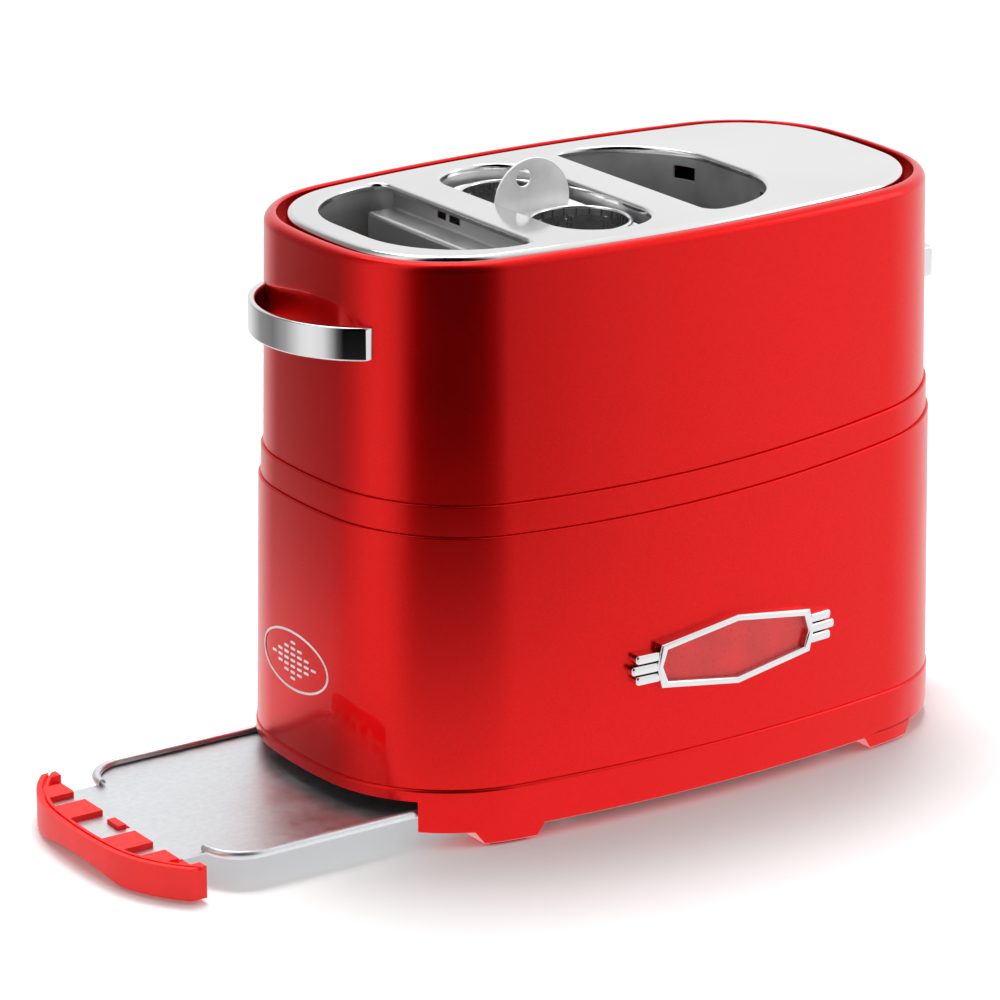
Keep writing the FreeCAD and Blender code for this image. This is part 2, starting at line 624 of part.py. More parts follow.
def foot_prism(name, inset):
    """Two slant-sided blocks across the casing, one for each pair of feet."""
    halves = []
    for side, sign in (("left", "-1"), ("right", "1")):
        wide = "(foot_long / 2 - %s)" % inset
        narrow = "(foot_long / 2 - foot_slant - %s)" % inset
        points = [
            ("%s * foot_at - %s" % (sign, narrow), "0"),
            ("%s * foot_at + %s" % (sign, narrow), "0"),
            ("%s * foot_at + %s" % (sign, wide), "skirt_bottom"),
            ("%s * foot_at + %s" % (sign, wide), "skirt_bottom + lip_thick"),
            ("%s * foot_at - %s" % (sign, wide), "skirt_bottom + lip_thick"),
            ("%s * foot_at - %s" % (sign, wide), "skirt_bottom"),
        ]
        reach = ("0", "4 * body_half_width")
        halves.append(outline_pad("%s_%s" % (name, side), points, "XZ_Plane", reach, True))
    return join(name, halves)


def make_base():
    outer = oval("skirt_outer", SKIRT_GROW, ("skirt_bottom", "base_top"), False)
    room = oval("skirt_room", SKIRT_GROW + " - skirt_wall", ("skirt_bottom + lip_thick", FLOOR_TOP), False)
    top_hole = oval("skirt_top_hole", SKIRT_GROW + " - skirt_flange", ("skirt_bottom", "base_top + wall"),
                    False)
    low_hole = oval("skirt_low_hole", SKIRT_GROW + " - skirt_wall - skirt_lip", ("0", "base_top / 2"), False)
    mouth = block("skirt_mouth", ("0 - 2 * body_half_length", "0 - pan_front + grip_wall"),
                  ("0 - mouth_side", "mouth_side"), ("0", "mouth_top"))
    skirt = minus("skirt_ring", outer, [room, top_hole, low_hole, mouth])
    foot_outer = oval("foot_outer", SKIRT_GROW, ("pad_tall", "skirt_bottom + lip_thick"), False)
    foot_inner = oval("foot_inner", SKIRT_GROW + " - foot_deep", ("0", "base_top / 2"), False)
    foot_ring = minus("foot_ring", foot_outer, [foot_inner])
    feet = overlap("feet", [foot_ring, foot_prism("foot_prisms", "0")])
    node("base_skirt", join("base_with_feet", [skirt, feet]))
    pad_outer = oval("pad_outer", SKIRT_GROW + " - pad_inset", ("0", "pad_tall"), False)
    pad_inner = oval("pad_inner", SKIRT_GROW + " - foot_deep + pad_inset", ("0", "pad_tall"), False)
    pad_ring = minus("pad_ring", pad_outer, [pad_inner])
    node("foot_pads", overlap("foot_pads_cut", [pad_ring, foot_prism("pad_prisms", "pad_inset")]))


def corner_rods(name, radius, low, high="base_top"):
    """A group of four upright rods where the base's posts stand."""
    rods = []
    for x, y in ((-1, -1), (1, -1), (1, 1), (-1, 1)):
        place_name = "%s_%d" % (name, len(rods))
        rods.append(rod(place_name, radius, "%d * post_at_x" % x, "%d * post_at_y" % y, low,
                        "(%s) - (%s)" % (high, low)))
    return join(name, rods)


def make_floor():
    bottom = oval("bottom_outer", SKIRT_GROW + " - skirt_wall - insert_gap",
                  ("skirt_bottom + lip_thick", PLATE_TOP), False)
    away = block("bottom_mouth", ("0 - 2 * body_half_length", "0 - pan_front + grip_shelf"),
                 ACROSS, ("0", "base_top"))
    slots = []
    for i in range(7):
        start = "%d * vent_pitch - vent_wide / 2" % (i - 3)
        slots.append(block("bottom_vent_%d" % i, (start, start + " + vent_wide"),
                           ("0 - vent_half", "vent_half"), ("0", "base_top")))
    holes = corner_rods("bottom_screw_hole", "screw_radius + insert_gap", "0")
    node("bottom_plate", minus("bottom_plate_cut", bottom, [away, holes] + slots))

    floor = oval("floor_outer", SKIRT_GROW + " - skirt_wall - insert_gap", (FLOOR_BOTTOM, FLOOR_TOP), False)
    crumb_hole = block("floor_hole", ("0 - crumb_left", "crumb_right"),
                       ("0 - bun_half", "bun_half"), ("0", "base_top"))
    node("chassis_floor", minus("chassis_floor_cut", floor, [crumb_hole]))

    posts = corner_rods("post_outer", "post_radius", PLATE_TOP, FLOOR_BOTTOM)
    bores = corner_rods("post_bore", "screw_radius + button_fit", PLATE_TOP, FLOOR_BOTTOM)
    node("base_posts", minus("base_posts_cut", posts, [bores]))
    under = "skirt_bottom + lip_thick"
    heads = corner_rods("screw_heads", "screw_head", under + " - screw_head_tall", under)
    shanks = corner_rods("screw_shanks", "screw_radius", under + " - screw_head_tall / 2", FLOOR_BOTTOM)
    node("base_screws", join("base_screws_whole", [heads, shanks]))


def make_rails():
    lip_top = "tray_level - tray_sheet - rail_gap"
    for side, sign in (("front", -1), ("back", 1)):
        inner = "tray_half + rail_gap + tray_sheet"
        ends = ("0 - pan_front + grip_shelf + tray_sheet", "right_plate")
        web = side_block("rail_web_" + side, sign, ends, (inner, inner + " + sheet_thick"),
                         (PLATE_TOP, FLOOR_BOTTOM))
        lip = side_block("rail_lip_" + side, sign, ends, (inner + " - rail_reach", inner + " + sheet_thick"),
                         (lip_top + " - sheet_thick", lip_top))
        node("tray_rail_" + side, join("rail_" + side, [web, lip]))


def side_block(name, sign, x, y, z):
    """A box on one side of the middle, its two values in Y counted outwards."""
    if sign > 0:
        return block(name, x, y, z)
    return block(name, x, ("0 - (%s)" % y[1], "0 - (%s)" % y[0]), z)


# Slot bezel and its window


def bezel_prism(name):
    """The window that the slot bezel fills in the right end of the shells."""
    low = "lever_level - travel - arm_tall / 2 - slot_gap - bezel_border"
    high = "lever_level + arm_tall / 2 + slot_gap + bezel_border"
    reach = ("0 - bezel_half", "bezel_half")
    return block(name, ("body_half_length / 2", "2 * body_half_length"), reach, (low, high))


def make_bezel():
    low = "lever_level - travel - arm_tall / 2 - slot_gap"
    high = "lever_level + arm_tall / 2 + slot_gap"
    plate = block("bezel_plate", ("bezel_front - bezel_deep", "bezel_front"), ("0 - bezel_half", "bezel_half"),
                  (low + " - bezel_border", high + " + bezel_border"))
    plate = rounded("bezel_rounded", plate, 2.0, lambda e: e.BoundBox.XMin > far_right("bezel_front"))
    half = "arm_thick / 2 + slot_gap"
    slot = block("bezel_slot", ("body_half_length / 2", "2 * body_half_length"),
                 ("0 - (%s)" % half, half), (low, high))
    node("slot_bezel", minus("slot_bezel_cut", plate, [slot]))


def far_right(face):
    """Just short of a face on the right end, where the edges of that face are found."""
    return size(face) + size("datum_x") - 0.01


# Top plate, wells and heaters


def bun_prism(name, sign, inner, grow, z):
    """A bun opening's outline: straight side, two small and two large corners."""
    straight = "wells_x + %d * (%s - (%s))" % (sign, inner, grow)
    curved = "wells_x + %d * (bun_from_mid + bun_depth + (%s))" % (sign, grow)
    x = (straight, curved) if sign > 0 else (curved, straight)
    half = "bun_half + (%s)" % grow
    raw = block(name + "_raw", x, ("0 - (%s)" % half, half), z)
    small = value("bun_small_corner + (%s)" % grow)
    large = min(value("bun_round + (%s)" % grow), value("bun_half - bun_corner + (%s)" % grow))
    doc.recompute()
    middle = raw.Shape.BoundBox.Center.x
    obj = doc.addObject("Part::Fillet", name)
    obj.Base = raw
    radii = []
    for i, edge in enumerate(raw.Shape.Edges, start=1):
        if upright(edge):
            beyond = (edge.BoundBox.XMin - middle) * sign > 0
            radius = large if beyond else small
            radii.append((i, radius, radius))
    obj.Edges = radii
    return obj


def dog_prism(name, grow, z):
    """The middle opening's outline."""
    half_x = "dog_half_width + (%s)" % grow
    half_y = "dog_half_length + (%s)" % grow
    raw = block(name + "_raw", ("wells_x - (%s)" % half_x, "wells_x + (%s)" % half_x),
                ("0 - (%s)" % half_y, half_y), z)
    return rounded(name, raw, value("dog_corner + (%s)" % grow), upright)


def make_top_plate():
    grow = RIM_GROW + " - plate_inset"
    outer = oval("plate_outer", grow, (LEDGE_TOP, PLATE_FACE), False)
    outer = rounded("plate_rounded", outer, size("plate_roll"), lambda e: level(e, value(PLATE_FACE)))
    under = "%s - plate_sheet" % PLATE_FACE
    room = oval("plate_room", grow + " - plate_sheet", (LEDGE_TOP, under + " - plate_roll / 2"), False)
    room_high = oval("plate_room_high", grow + " - plate_roll", (LEDGE_TOP, under), False)
    pan = minus("plate_pan", outer, [room, room_high])
    lip = ("%s - lip_deep" % PLATE_FACE, PLATE_FACE)
    collars = [
        bun_prism("plate_collar_left", -1, "bun_from_mid", "plate_sheet", lip),
        bun_prism("plate_collar_right", 1, "bun_from_mid", "plate_sheet", lip),
        dog_prism("plate_collar_middle", "plate_sheet", lip),
    ]
    holes = [
        bun_prism("plate_hole_left", -1, "bun_from_mid", "0", (LEDGE_BOTTOM, "rim_level + plate_roll")),
        bun_prism("plate_hole_right", 1, "bun_from_mid", "0", (LEDGE_BOTTOM, "rim_level + plate_roll")),
        dog_prism("plate_hole_middle", "0", (LEDGE_BOTTOM, "rim_level + plate_roll")),
    ]
    cut = minus("plate_cut", join("plate_with_collars", [pan] + collars), holes)
    doc.recompute()
    face = value(PLATE_FACE)
    lean_out = value("bun_from_mid + bun_depth + plate_sheet")
    centre = size("datum_x") + value("wells_x")

    def opening_edge(edge):
        box = edge.BoundBox
        inside = abs(box.Center.x - centre) < lean_out and max(abs(box.YMin), abs(box.YMax)) < opening_reach()
        return level(edge, face) and inside

    node("top_plate", rounded("top_plate_lips", cut, size("plate_sheet") * 0.9, opening_edge))


def opening_reach():
    """How far from the middle the openings' edges lie, just past the widest one."""
    return max(size("bun_half"), size("dog_half_length")) + 0.1


def bun_x(sign, out):
    """A place in a bun well, counted outwards from its straight side."""
    return "wells_x + %d * (bun_from_mid + (%s))" % (sign, out)


def span_x(sign, near, far):
    first, second = bun_x(sign, near), bun_x(sign, far)
    return (first, second) if sign > 0 else (second, first)


def make_bun_well(side, sign):
    grow = "plate_sheet + liner_gap"
    top = "%s - plate_sheet" % PLATE_FACE
    reach = ("well_bottom", top)
    outer = bun_prism("liner_outer_" + side, sign, "bun_from_mid", grow + " + liner_sheet", reach)
    inner = bun_prism("liner_inner_" + side, sign, "bun_from_mid", grow, reach)
    half = "(bun_half - bun_small_corner)"
    wide = ("0 - " + half, half)
    open_side = block("liner_open_" + side, span_x(sign, "0 - bun_small_corner", "bun_small_corner"), wide,
                      reach)
    drop = "%s - guide_drop" % PLATE_FACE
    windows = []
    for i, y in enumerate(("0 - bun_half / 2", "bun_half / 2")):
        far = ("%s - window_wide / 2" % y, "%s + window_wide / 2" % y)
        windows.append(block("liner_window_%s_%d" % (side, i), span_x(sign, "bun_depth / 2", "2 * bun_depth"),
                             far, (drop + " - window_tall / 2", drop + " + window_tall / 2")))
    node("bun_liner_" + side, minus("bun_liner_cut_" + side, outer, [inner, open_side] + windows))

    strip = block("guide_strip_" + side, span_x(sign, "0 - liner_sheet - liner_gap - plate_sheet",
                                                "0 - liner_gap - plate_sheet"), wide, (drop, top))
    shelf = block("guide_shelf_" + side, span_x(sign, "0 - liner_sheet - liner_gap - plate_sheet",
                                                "guide_ledge"), wide, (drop + " - liner_sheet", drop))
    wall = block("guide_wall_" + side, span_x(sign, "guide_ledge - liner_sheet", "guide_ledge"), wide,
                 ("well_bottom", drop))
    bent = join("guide_bent_" + side, [strip, shelf, wall])
    openings = []
    for i in range(5):
        middle = "%d * bar_pitch" % (i - 2)
        openings.append(block("guide_opening_%s_%d" % (side, i), span_x(sign, "liner_sheet", "2 * guide_ledge"),
                              (middle + " - bar_gap / 2", middle + " + bar_gap / 2"),
                              ("board_low", "board_high - guide_drop")))
    node("bun_guide_" + side, minus("bun_guide_cut_" + side, bent, openings))


def make_centre_liner():
    grow = "plate_sheet + liner_gap"
    reach = ("well_bottom", "%s - plate_sheet" % PLATE_FACE)
    outer = dog_prism("centre_outer", grow + " + liner_sheet", reach)
    inner = dog_prism("centre_inner", grow, reach)
    openings = []
    for i in range(5):
        middle = "%d * bar_pitch" % (i - 2)
        openings.append(block("centre_opening_%d" % i, ("wells_x - bun_depth", "wells_x + bun_depth"),
                              (middle + " - bar_gap / 2", middle + " + bar_gap / 2"),
                              ("board_low", "board_high - guide_drop")))
    node("centre_liner", minus("centre_liner_cut", outer, [inner] + openings))


def make_heaters():
    spacers = []
    for side, sign in (("left", -1), ("right", 1)):
        near = "wells_x + %d * board_from_mid" % sign
        far = "wells_x + %d * (board_from_mid + board_thick)" % sign
        x = (near, far) if sign > 0 else (far, near)
        node("heater_board_" + side, block("board_" + side, x, ("0 - board_half", "board_half"),
                                           ("board_low", "board_high")))
        ribbons = []
        for i in range(9):
            middle = "%d * ribbon_pitch" % (i - 4)
            for face, start in (("in", "board_from_mid - ribbon_thick"), ("out", "board_from_mid + board_thick")):
                first = "wells_x + %d * (%s)" % (sign, start)
                second = "wells_x + %d * (%s + ribbon_thick)" % (sign, start)
                x = (first, second) if sign > 0 else (second, first)
                ribbons.append(block("ribbon_%s_%s_%d" % (side, face, i), x,
                                     (middle + " - ribbon_wide / 2", middle + " + ribbon_wide / 2"),
                                     ("board_low + ribbon_wide", "board_high - ribbon_wide")))
        node("heater_ribbons_" + side, join("ribbons_" + side, ribbons))
        wall_x = "dog_half_width + plate_sheet + liner_gap + liner_sheet"
        start = "wells_x + " + wall_x if sign > 0 else "wells_x - board_from_mid"
        for y in ("0 - spacer_y", "spacer_y"):
            for z in ("board_low + spacer_y / 2", "board_high - spacer_y / 2"):
                name = "spacer_%s_%d" % (side, len(spacers))
                spacers.append(rod(name, "spacer_radius", start, y, z, "board_from_mid - (%s)" % wall_x, "X"))
    node("board_spacers", join("spacers", spacers))


# Chassis, guide rods and springs


def make_chassis():
    left = block("chassis_left_plate", ("0 - left_plate", "0 - left_plate + sheet_thick"),
                 ("0 - chassis_left_half", "chassis_left_half"), (FLOOR_TOP, LEDGE_BOTTOM))
    left_foot = block("chassis_left_foot", ("0 - left_plate", "0 - crumb_left - sheet_thick"),
                      ("0 - chassis_left_half", "chassis_left_half"), (FLOOR_TOP, FLOOR_TOP + " + sheet_thick"))
    node("chassis_left", join("chassis_left_whole", [left, left_foot]))
    half = "right_half"
    right = block("chassis_right_plate", ("right_plate", "right_plate + sheet_thick"),
                  ("0 - " + half, half), (FLOOR_TOP, LEDGE_BOTTOM))
    right_foot = block("chassis_right_foot", ("right_plate", "right_plate + chassis_foot"),
                       ("0 - " + half, half), (FLOOR_TOP, FLOOR_TOP + " + sheet_thick"))
    spine_way = block("chassis_spine_way", ("right_plate - wall", "right_plate + rod_line"),
                      ("0 - spine_half - wall", "spine_half + wall"), ("0", "well_bottom + wall"))
    node("chassis_right", minus("chassis_right_cut", join("chassis_right_bent", [right, right_foot]),
                                [spine_way]))
    rods = [rod("guide_rod_%d" % i, "rod_radius", "rod_line", y, FLOOR_TOP, "rod_top - (%s)" % FLOOR_TOP)
            for i, y in enumerate(("0 - rod_y", "rod_y"))]
    node("guide_rods", join("guide_rods_whole", rods))
    reach = "rod_line + bush_half"
    shelf = block("bracket_shelf", ("right_plate + sheet_thick", reach),
                  ("0 - spring_y - bush_half", "spring_y + bush_half"), ("rod_top", "rod_top + sheet_thick"))
    turned = block("bracket_turned", ("right_plate + sheet_thick", "right_plate + 2 * sheet_thick"),
                   ("0 - spring_y - bush_half", "spring_y + bush_half"),
                   ("rod_top - bush_tall", "rod_top + sheet_thick"))
    node("rod_bracket", join("rod_bracket_whole", [shelf, turned]))
    ear_top = "frame_level + bush_tall"
    for side, sign in (("front", "-1"), ("back", "1")):
        y = "%s * spring_y" % sign
        coil = rod("spring_coil_" + side, "spring_radius", "rod_line", y, ear_top, "rod_top - (%s)" % ear_top)
        hollow = rod("spring_hollow_" + side, "spring_radius - spring_wire", "rod_line", y, ear_top,
                     "rod_top - (%s)" % ear_top)
        node("lift_spring_" + side, minus("lift_spring_cut_" + side, coil, [hollow]))


# Carriage


def make_carriage():
    frame = ("frame_level", "frame_level + frame_thick")
    spine = block("frame_spine", ("0 - spine_left", "plate_at"), ("0 - spine_half", "spine_half"), frame)
    arms = []
    for i, (x, half) in enumerate((("wells_x - rack_at", "post_half"), ("wells_x", "tube_y"),
                                   ("wells_x + rack_at", "post_half"))):
        arms.append(block("frame_arm_%d" % i, (x + " - arm_half", x + " + arm_half"),
                          ("0 - %s - arm_half" % half, half + " + arm_half"), frame))
        top = "rest_level" if i == 1 else "rack_level"
        for sign in ("-1", "1"):
            y = "%s * %s" % (sign, half)
            arms.append(block("frame_post_%d_%s" % (i, sign.strip("-") + ("f" if sign == "-1" else "b")),
                              (x + " - frame_thick", x + " + frame_thick"),
                              (y + " - arm_half", y + " + arm_half"),
                              ("frame_level", top + " - frame_thick")))
    node("carriage_frame", join("carriage_frame_whole", [spine] + arms), "carriage")
    for side, sign in (("left", "-1"), ("right", "1")):
        x = "wells_x + %s * rack_at" % sign
        rack = block("rack_" + side, (x + " - rack_side", x + " + rack_side"),
                     ("0 - rack_long", "rack_long"), ("rack_level - frame_thick", "rack_level"))
        slots = []
        for i in range(5):
            y = "%d * rack_pitch" % (i - 2)
            if i % 2 == 0:
                slots.append(block("rack_slot_%s_%d" % (side, i),
                                   (x + " - rack_side + rack_border", x + " + rack_side - rack_border"),
                                   (y + " - rack_pitch / 3", y + " + rack_pitch / 3"),
                                   ("0", "rack_level + frame_thick")))
        node("bun_rack_" + side, minus("bun_rack_cut_" + side, rack, slots), "carriage")
    rest = block("rest_plate", ("wells_x - rest_half", "wells_x + rest_half"), ("0 - rest_long", "rest_long"),
                 ("rest_level - frame_thick", "rest_level"))
    window = block("rest_window", ("wells_x - rack_border", "wells_x + rack_border"),
                   ("0 - tube_y / 2", "tube_y / 2"), ("0", "rest_level + frame_thick"))
    node("cage_rest", minus("cage_rest_cut", rest, [window]), "carriage")

    high = "lever_level + bush_tall"
    plate = block("carriage_sheet", ("plate_at", "plate_at + sheet_thick"),
                  ("0 - rod_y - bush_half", "rod_y + bush_half"), ("frame_level", high))
    ears = [side_block("carriage_ear_%d" % sign, sign, ("plate_at", "rod_line + spring_radius"),
                       ("rod_y + bush_half", "spring_y + spring_radius"),
                       (EAR_LOW, "frame_level + bush_tall")) for sign in (-1, 1)]
    node("carriage_plate", join("carriage_plate_whole", [plate] + ears), "carriage")
    bushes, bores = [], []
    for i, y in enumerate(("0 - rod_y", "rod_y")):
        for j, low in enumerate((EAR_LOW, "lever_level - bush_tall / 2")):
            bushes.append(block("bush_%d_%d" % (i, j), ("plate_at + sheet_thick", "rod_line + bush_half"),
                                (y + " - bush_half", y + " + bush_half"), (low, low + " + bush_tall")))
        bores.append(rod("bush_bore_%d" % i, "rod_radius + rod_fit", "rod_line", y, "frame_level",
                         "rod_top - frame_level"))
    node("slider_bushes", minus("slider_bushes_cut", join("bushes", bushes), bores), "carriage")
    low = "keeper_level"
    node("keeper", block("keeper_plate", ("plate_at + sheet_thick", "magnet_at + magnet_radius"),
                         ("0 - magnet_radius", "magnet_radius"), (low, low + " + arm_thick")), "carriage")
    arm = block("lever_arm_bar", ("plate_at + sheet_thick", "knob_inner"), ("0 - arm_thick / 2", "arm_thick / 2"),
                ("lever_level - arm_tall / 2", "lever_level + arm_tall / 2"))
    node("lever_arm", arm, "carriage")
    half = ("0 - knob_half", "knob_half")
    tall = ("lever_level - knob_tall / 2", "lever_level + knob_tall / 2")
    knob = block("knob_block", ("knob_inner", "knob_front + wall"), half, tall)
    bow = rod("knob_bow_rod", "knob_bow", "knob_front - knob_bow", "0", tall[0], "knob_tall")
    shaped = overlap("knob_shaped", [knob, bow])
    back = value("datum_x + knob_inner") + 0.01
    shaped = rounded("knob_rounded", shaped, 1.6, lambda e: e.BoundBox.XMax > back + 0.1)
    node("lever_knob", shaped, "carriage")


EAR_LOW = "frame_level + bush_tall / 2"


def make_magnet():
    top = "keeper_level - travel - magnet_gap"
    seat = "%s + magnet_seat" % FLOOR_TOP
    coil = rod("magnet_coil", "magnet_radius", "magnet_at", "0", seat, "(%s) - (%s) - magnet_gap" % (top, seat))
    core = rod("magnet_core", "magnet_radius / 2", "magnet_at", "0", seat, "(%s) - (%s)" % (top, seat))
    node("electromagnet", join("electromagnet_whole", [coil, core]))
    node("magnet_bracket", block("magnet_foot", ("magnet_at - magnet_radius", "magnet_at + magnet_radius"),
                                 ("0 - magnet_radius", "magnet_radius"), (FLOOR_TOP, seat)))


# Controls on the right end


def make_controls():
    node("control_board", block("control_board_sheet", ("board_at", "board_at + wall"),
                                ("0 - control_half", "control_half"), (FLOOR_TOP, "control_high")))
    pot_face = "board_at + wall + pot_deep"
    pot = block("pot_case", ("board_at + wall", pot_face), ("0 - pot_half", "pot_half"),
                ("dial_level - pot_half", "dial_level + pot_half"))
    bore = rod("pot_bore", "shaft_radius + rod_fit", "board_at + wall + wall", "0", "dial_level",
               "body_half_length", "X")
    node("timer_switch", minus("timer_switch_cut", pot, [bore]))
    shaft_start = "board_at + 2 * wall + insert_gap"
    shaft = rod("shaft_round", "shaft_radius", shaft_start, "0", "dial_level",
                "dial_front + timer_tall / 2 - (%s)" % shaft_start, "X")
    node("timer_shaft", shaft, "timer")
    disc = rod("dial_disc", "dial_radius", "dial_front - dial_deep", "0", "dial_level", "dial_deep", "X")
    disc = rounded("dial_rounded", disc, 1.0, lambda e: e.BoundBox.XMin > far_right("dial_front"))
    hole = rod("dial_hole", "shaft_radius + slot_gap", "dial_front - 2 * dial_deep", "0", "dial_level",
               "3 * dial_deep", "X")
    node("dial_plate", minus("dial_plate_cut", disc, [hole]))
    base = "dial_front + insert_gap"
    body = rod("timer_body", "timer_radius", base, "0", "dial_level", "timer_tall", "X")
    front = value("datum_x + %s + timer_tall" % base) - 0.01
    body = rounded("timer_rounded", body, 1.4, lambda e: e.BoundBox.XMin > front)
    flutes = []
    for i in range(12):
        angle = math.radians(15 + 30 * i)
        y = "(timer_radius + flute_out) * %.6f" % math.cos(angle)
        z = "dial_level + (timer_radius + flute_out) * %.6f" % math.sin(angle)
        flutes.append(rod("flute_%d" % i, "flute_radius", base + " + wall", y, z, "timer_tall", "X"))
    socket = rod("timer_socket", "shaft_radius", base, "0", "dial_level", "timer_tall / 2 - insert_gap", "X")
    node("timer_knob", minus("timer_knob_cut", body, [socket] + flutes), "timer")

    guide_face = "bezel_front - insert_gap"
    sleeve = rod("guide_sleeve", "button_radius + guide_wall", guide_face + " - guide_deep", "0",
                 "button_level", "guide_deep", "X")
    way = rod("guide_way", "button_radius + button_fit", guide_face + " - 2 * guide_deep", "0",
              "button_level", "3 * guide_deep", "X")
    node("button_guide", minus("button_guide_cut", sleeve, [way]))
    start = "board_at + wall + switch_deep + button_travel + insert_gap"
    button = rod("button_round", "button_radius", start, "0", "button_level", "button_front - (%s)" % start, "X")
    button = rounded("button_rounded", button, 1.0, lambda e: e.BoundBox.XMin > far_right("button_front"))
    node("cancel_button", button, "cancel")
    node("cancel_switch", block("switch_case", ("board_at + wall", "board_at + wall + switch_deep"),
                                ("0 - button_radius", "button_radius"),
                                ("button_level - button_radius", "button_level + button_radius")))


# Cage for two hot dogs


def make_cage():
    face = "%s - cage_drop" % PLATE_FACE
    under = face + " - cage_sheet"
    raw = block("cage_raw", ("wells_x - cage_half_width", "wells_x + cage_half_width"),
                ("0 - cage_half", "cage_half"), (under, face))
    plate = rounded("cage_plate", raw, value("cage_half_width - cage_sheet"), upright)
    holes = [rod("cage_hole_%d" % i, "tube_radius + cage_sheet", "wells_x", y, under + " - wall", "3 * wall")
             for i, y in enumerate(("0 - tube_y", "tube_y"))]
    disc_level = "%s + tab_tall - tab_radius" % face
    disc = rod("tab_disc", "tab_radius", "tab_x", "tab_y - tab_thick / 2", disc_level, "tab_thick", "Y")
    hole = rod("tab_hole_rod", "tab_hole", "tab_x - tab_hole_side", "tab_y - tab_thick",
               "%s + tab_tall - tab_hole_drop" % face, "2 * tab_thick", "Y")
    below = block("tab_below", LENGTHWAYS, ACROSS, ("0", face))
    tab = minus("cage_tab", disc, [hole, below])
    node("cage_plate", join("cage_top", [minus("cage_plate_cut", plate, holes), tab]), "cage")
    rings = []
    for i, y in enumerate(("0 - tube_y", "tube_y")):
        ring = rod("ring_%d" % i, "tube_radius + ring_wide", "wells_x", y, face, "ring_tall")
        ring = rounded("ring_rounded_%d" % i, ring, 1.3, lambda e: level(e, value(face + " + ring_tall")))
        neck = rod("ring_neck_%d" % i, "tube_radius + cage_sheet", "wells_x", y, under, "cage_sheet")
        bore = rod("ring_bore_%d" % i, "tube_radius", "wells_x", y, "0", "2 * rim_level")
        rings.append(minus("ring_cut_%d" % i, join("ring_whole_%d" % i, [ring, neck]), [bore]))
    node("cage_rings", join("cage_rings_whole", rings), "cage")
    for side, sign in (("front", "-1"), ("back", "1")):
        y = "%s * tube_y" % sign
        parts = []
        levels = ("rest_level", "(rest_level + %s) / 2" % under, under + " - ring_tall")
        for i, z in enumerate(levels):
            outer = rod("band_outer_%s_%d" % (side, i), "tube_radius + cage_sheet", "wells_x", y, z, "ring_tall")
            inner = rod("band_inner_%s_%d" % (side, i), "tube_radius", "wells_x", y, z, "ring_tall")
            parts.append(minus("band_%s_%d" % (side, i), outer, [inner]))
        for i in range(8):
            angle = math.radians(22.5 + 45 * i)
            wire_x = "wells_x + (tube_radius + cage_sheet / 2) * %.6f" % math.cos(angle)
            wire_y = "%s + (tube_radius + cage_sheet / 2) * %.6f" % (y, math.sin(angle))
            parts.append(rod("cage_wire_%s_%d" % (side, i), "wire_radius", wire_x, wire_y, "rest_level",
                             "%s - rest_level" % under))
        reach = "tube_radius + cage_sheet / 2"
        parts.append(block("cage_floor_x_" + side, ("wells_x - " + reach, "wells_x + " + reach),
                           (y + " - wire_radius", y + " + wire_radius"),
                           ("rest_level", "rest_level + 2 * wire_radius")))
        parts.append(block("cage_floor_y_" + side, ("wells_x - wire_radius", "wells_x + wire_radius"),
                           ("%s - (%s)" % (y, reach), "%s + (%s)" % (y, reach)),
                           ("rest_level", "rest_level + 2 * wire_radius")))
        node("basket_" + side, join("basket_whole_" + side, parts), "cage")


# Carry handle, badge and cord gland


def make_handle():
    z = ("handle_level - handle_tall / 2", "handle_level + handle_tall / 2")
    outer = bowed("handle_outer", "handle_tip", "shoulder_at", "handle_half", z)
    inner = bowed("handle_inner", "handle_tip - handle_thick", "shoulder_at - handle_thick",
                  "handle_half - handle_foot", (z[0] + " - wall", z[1] + " + wall"))
    band = minus("handle_band", outer, [inner, oval("handle_wall", "0", ("outline_level", "rim_level"))])
    edge_x = size("datum_x") - value("shoulder_at") + 2.0
    band = rounded("handle_rounded", band, 0.8, lambda e: flat_edge(e, edge_x, z))
    bores = [rod("handle_bore_%d" % i, "handle_screw", "0 - shoulder_at - screw_bite", y, "handle_level",
                 "end_room", "X") for i, y in enumerate(("0 - handle_screw_y", "handle_screw_y"))]
    node("carry_handle", minus("carry_handle_cut", band, bores))
    screws = []
    for i, y in enumerate(("0 - handle_screw_y", "handle_screw_y")):
        start = "0 - shoulder_at - screw_bite"
        end = "0 - body_half_length + screw_inside"
        shank = rod("handle_shank_%d" % i, "handle_screw", start, y, "handle_level", "(%s) - (%s)" % (end, start),
                    "X")
        head = rod("handle_head_%d" % i, "screw_head", end, y, "handle_level", "2 * screw_head_tall", "X")
        screws += [shank, head]
    node("handle_screws", join("handle_screws_whole", screws))


def flat_edge(edge, edge_x, z):
    """An edge along the top or bottom of the carry handle's bow."""
    low, high = value(z[0]), value(z[1])
    return (level(edge, low) or level(edge, high)) and edge.BoundBox.XMax < edge_x and edge.Length > 12


def bowed(name, reach, shoulder, half, z):
    """A block off the left end whose face is one arc through three points."""
    rise = value("(%s) - (%s)" % (reach, shoulder))
    chord = value(half)
    radius = (chord ** 2 + rise ** 2) / (2 * rise)
    formula = "((%s) ^ 2 + ((%s) - (%s)) ^ 2) / (2 * ((%s) - (%s)))" % (half, reach, shoulder, reach, shoulder)
    if radius < chord:
        raise RuntimeError("the carry handle bows out further than half a circle")
    box = block(name + "_block", ("0 - (%s)" % reach, "0 - body_half_length / 2"),
                ("0 - (%s)" % half, half), z)
    arc = rod(name + "_arc", formula, "(%s) - (%s)" % (formula, reach), "0", z[0],
              "(%s) - (%s)" % (z[1], z[0]))
    return overlap(name, [box, arc])


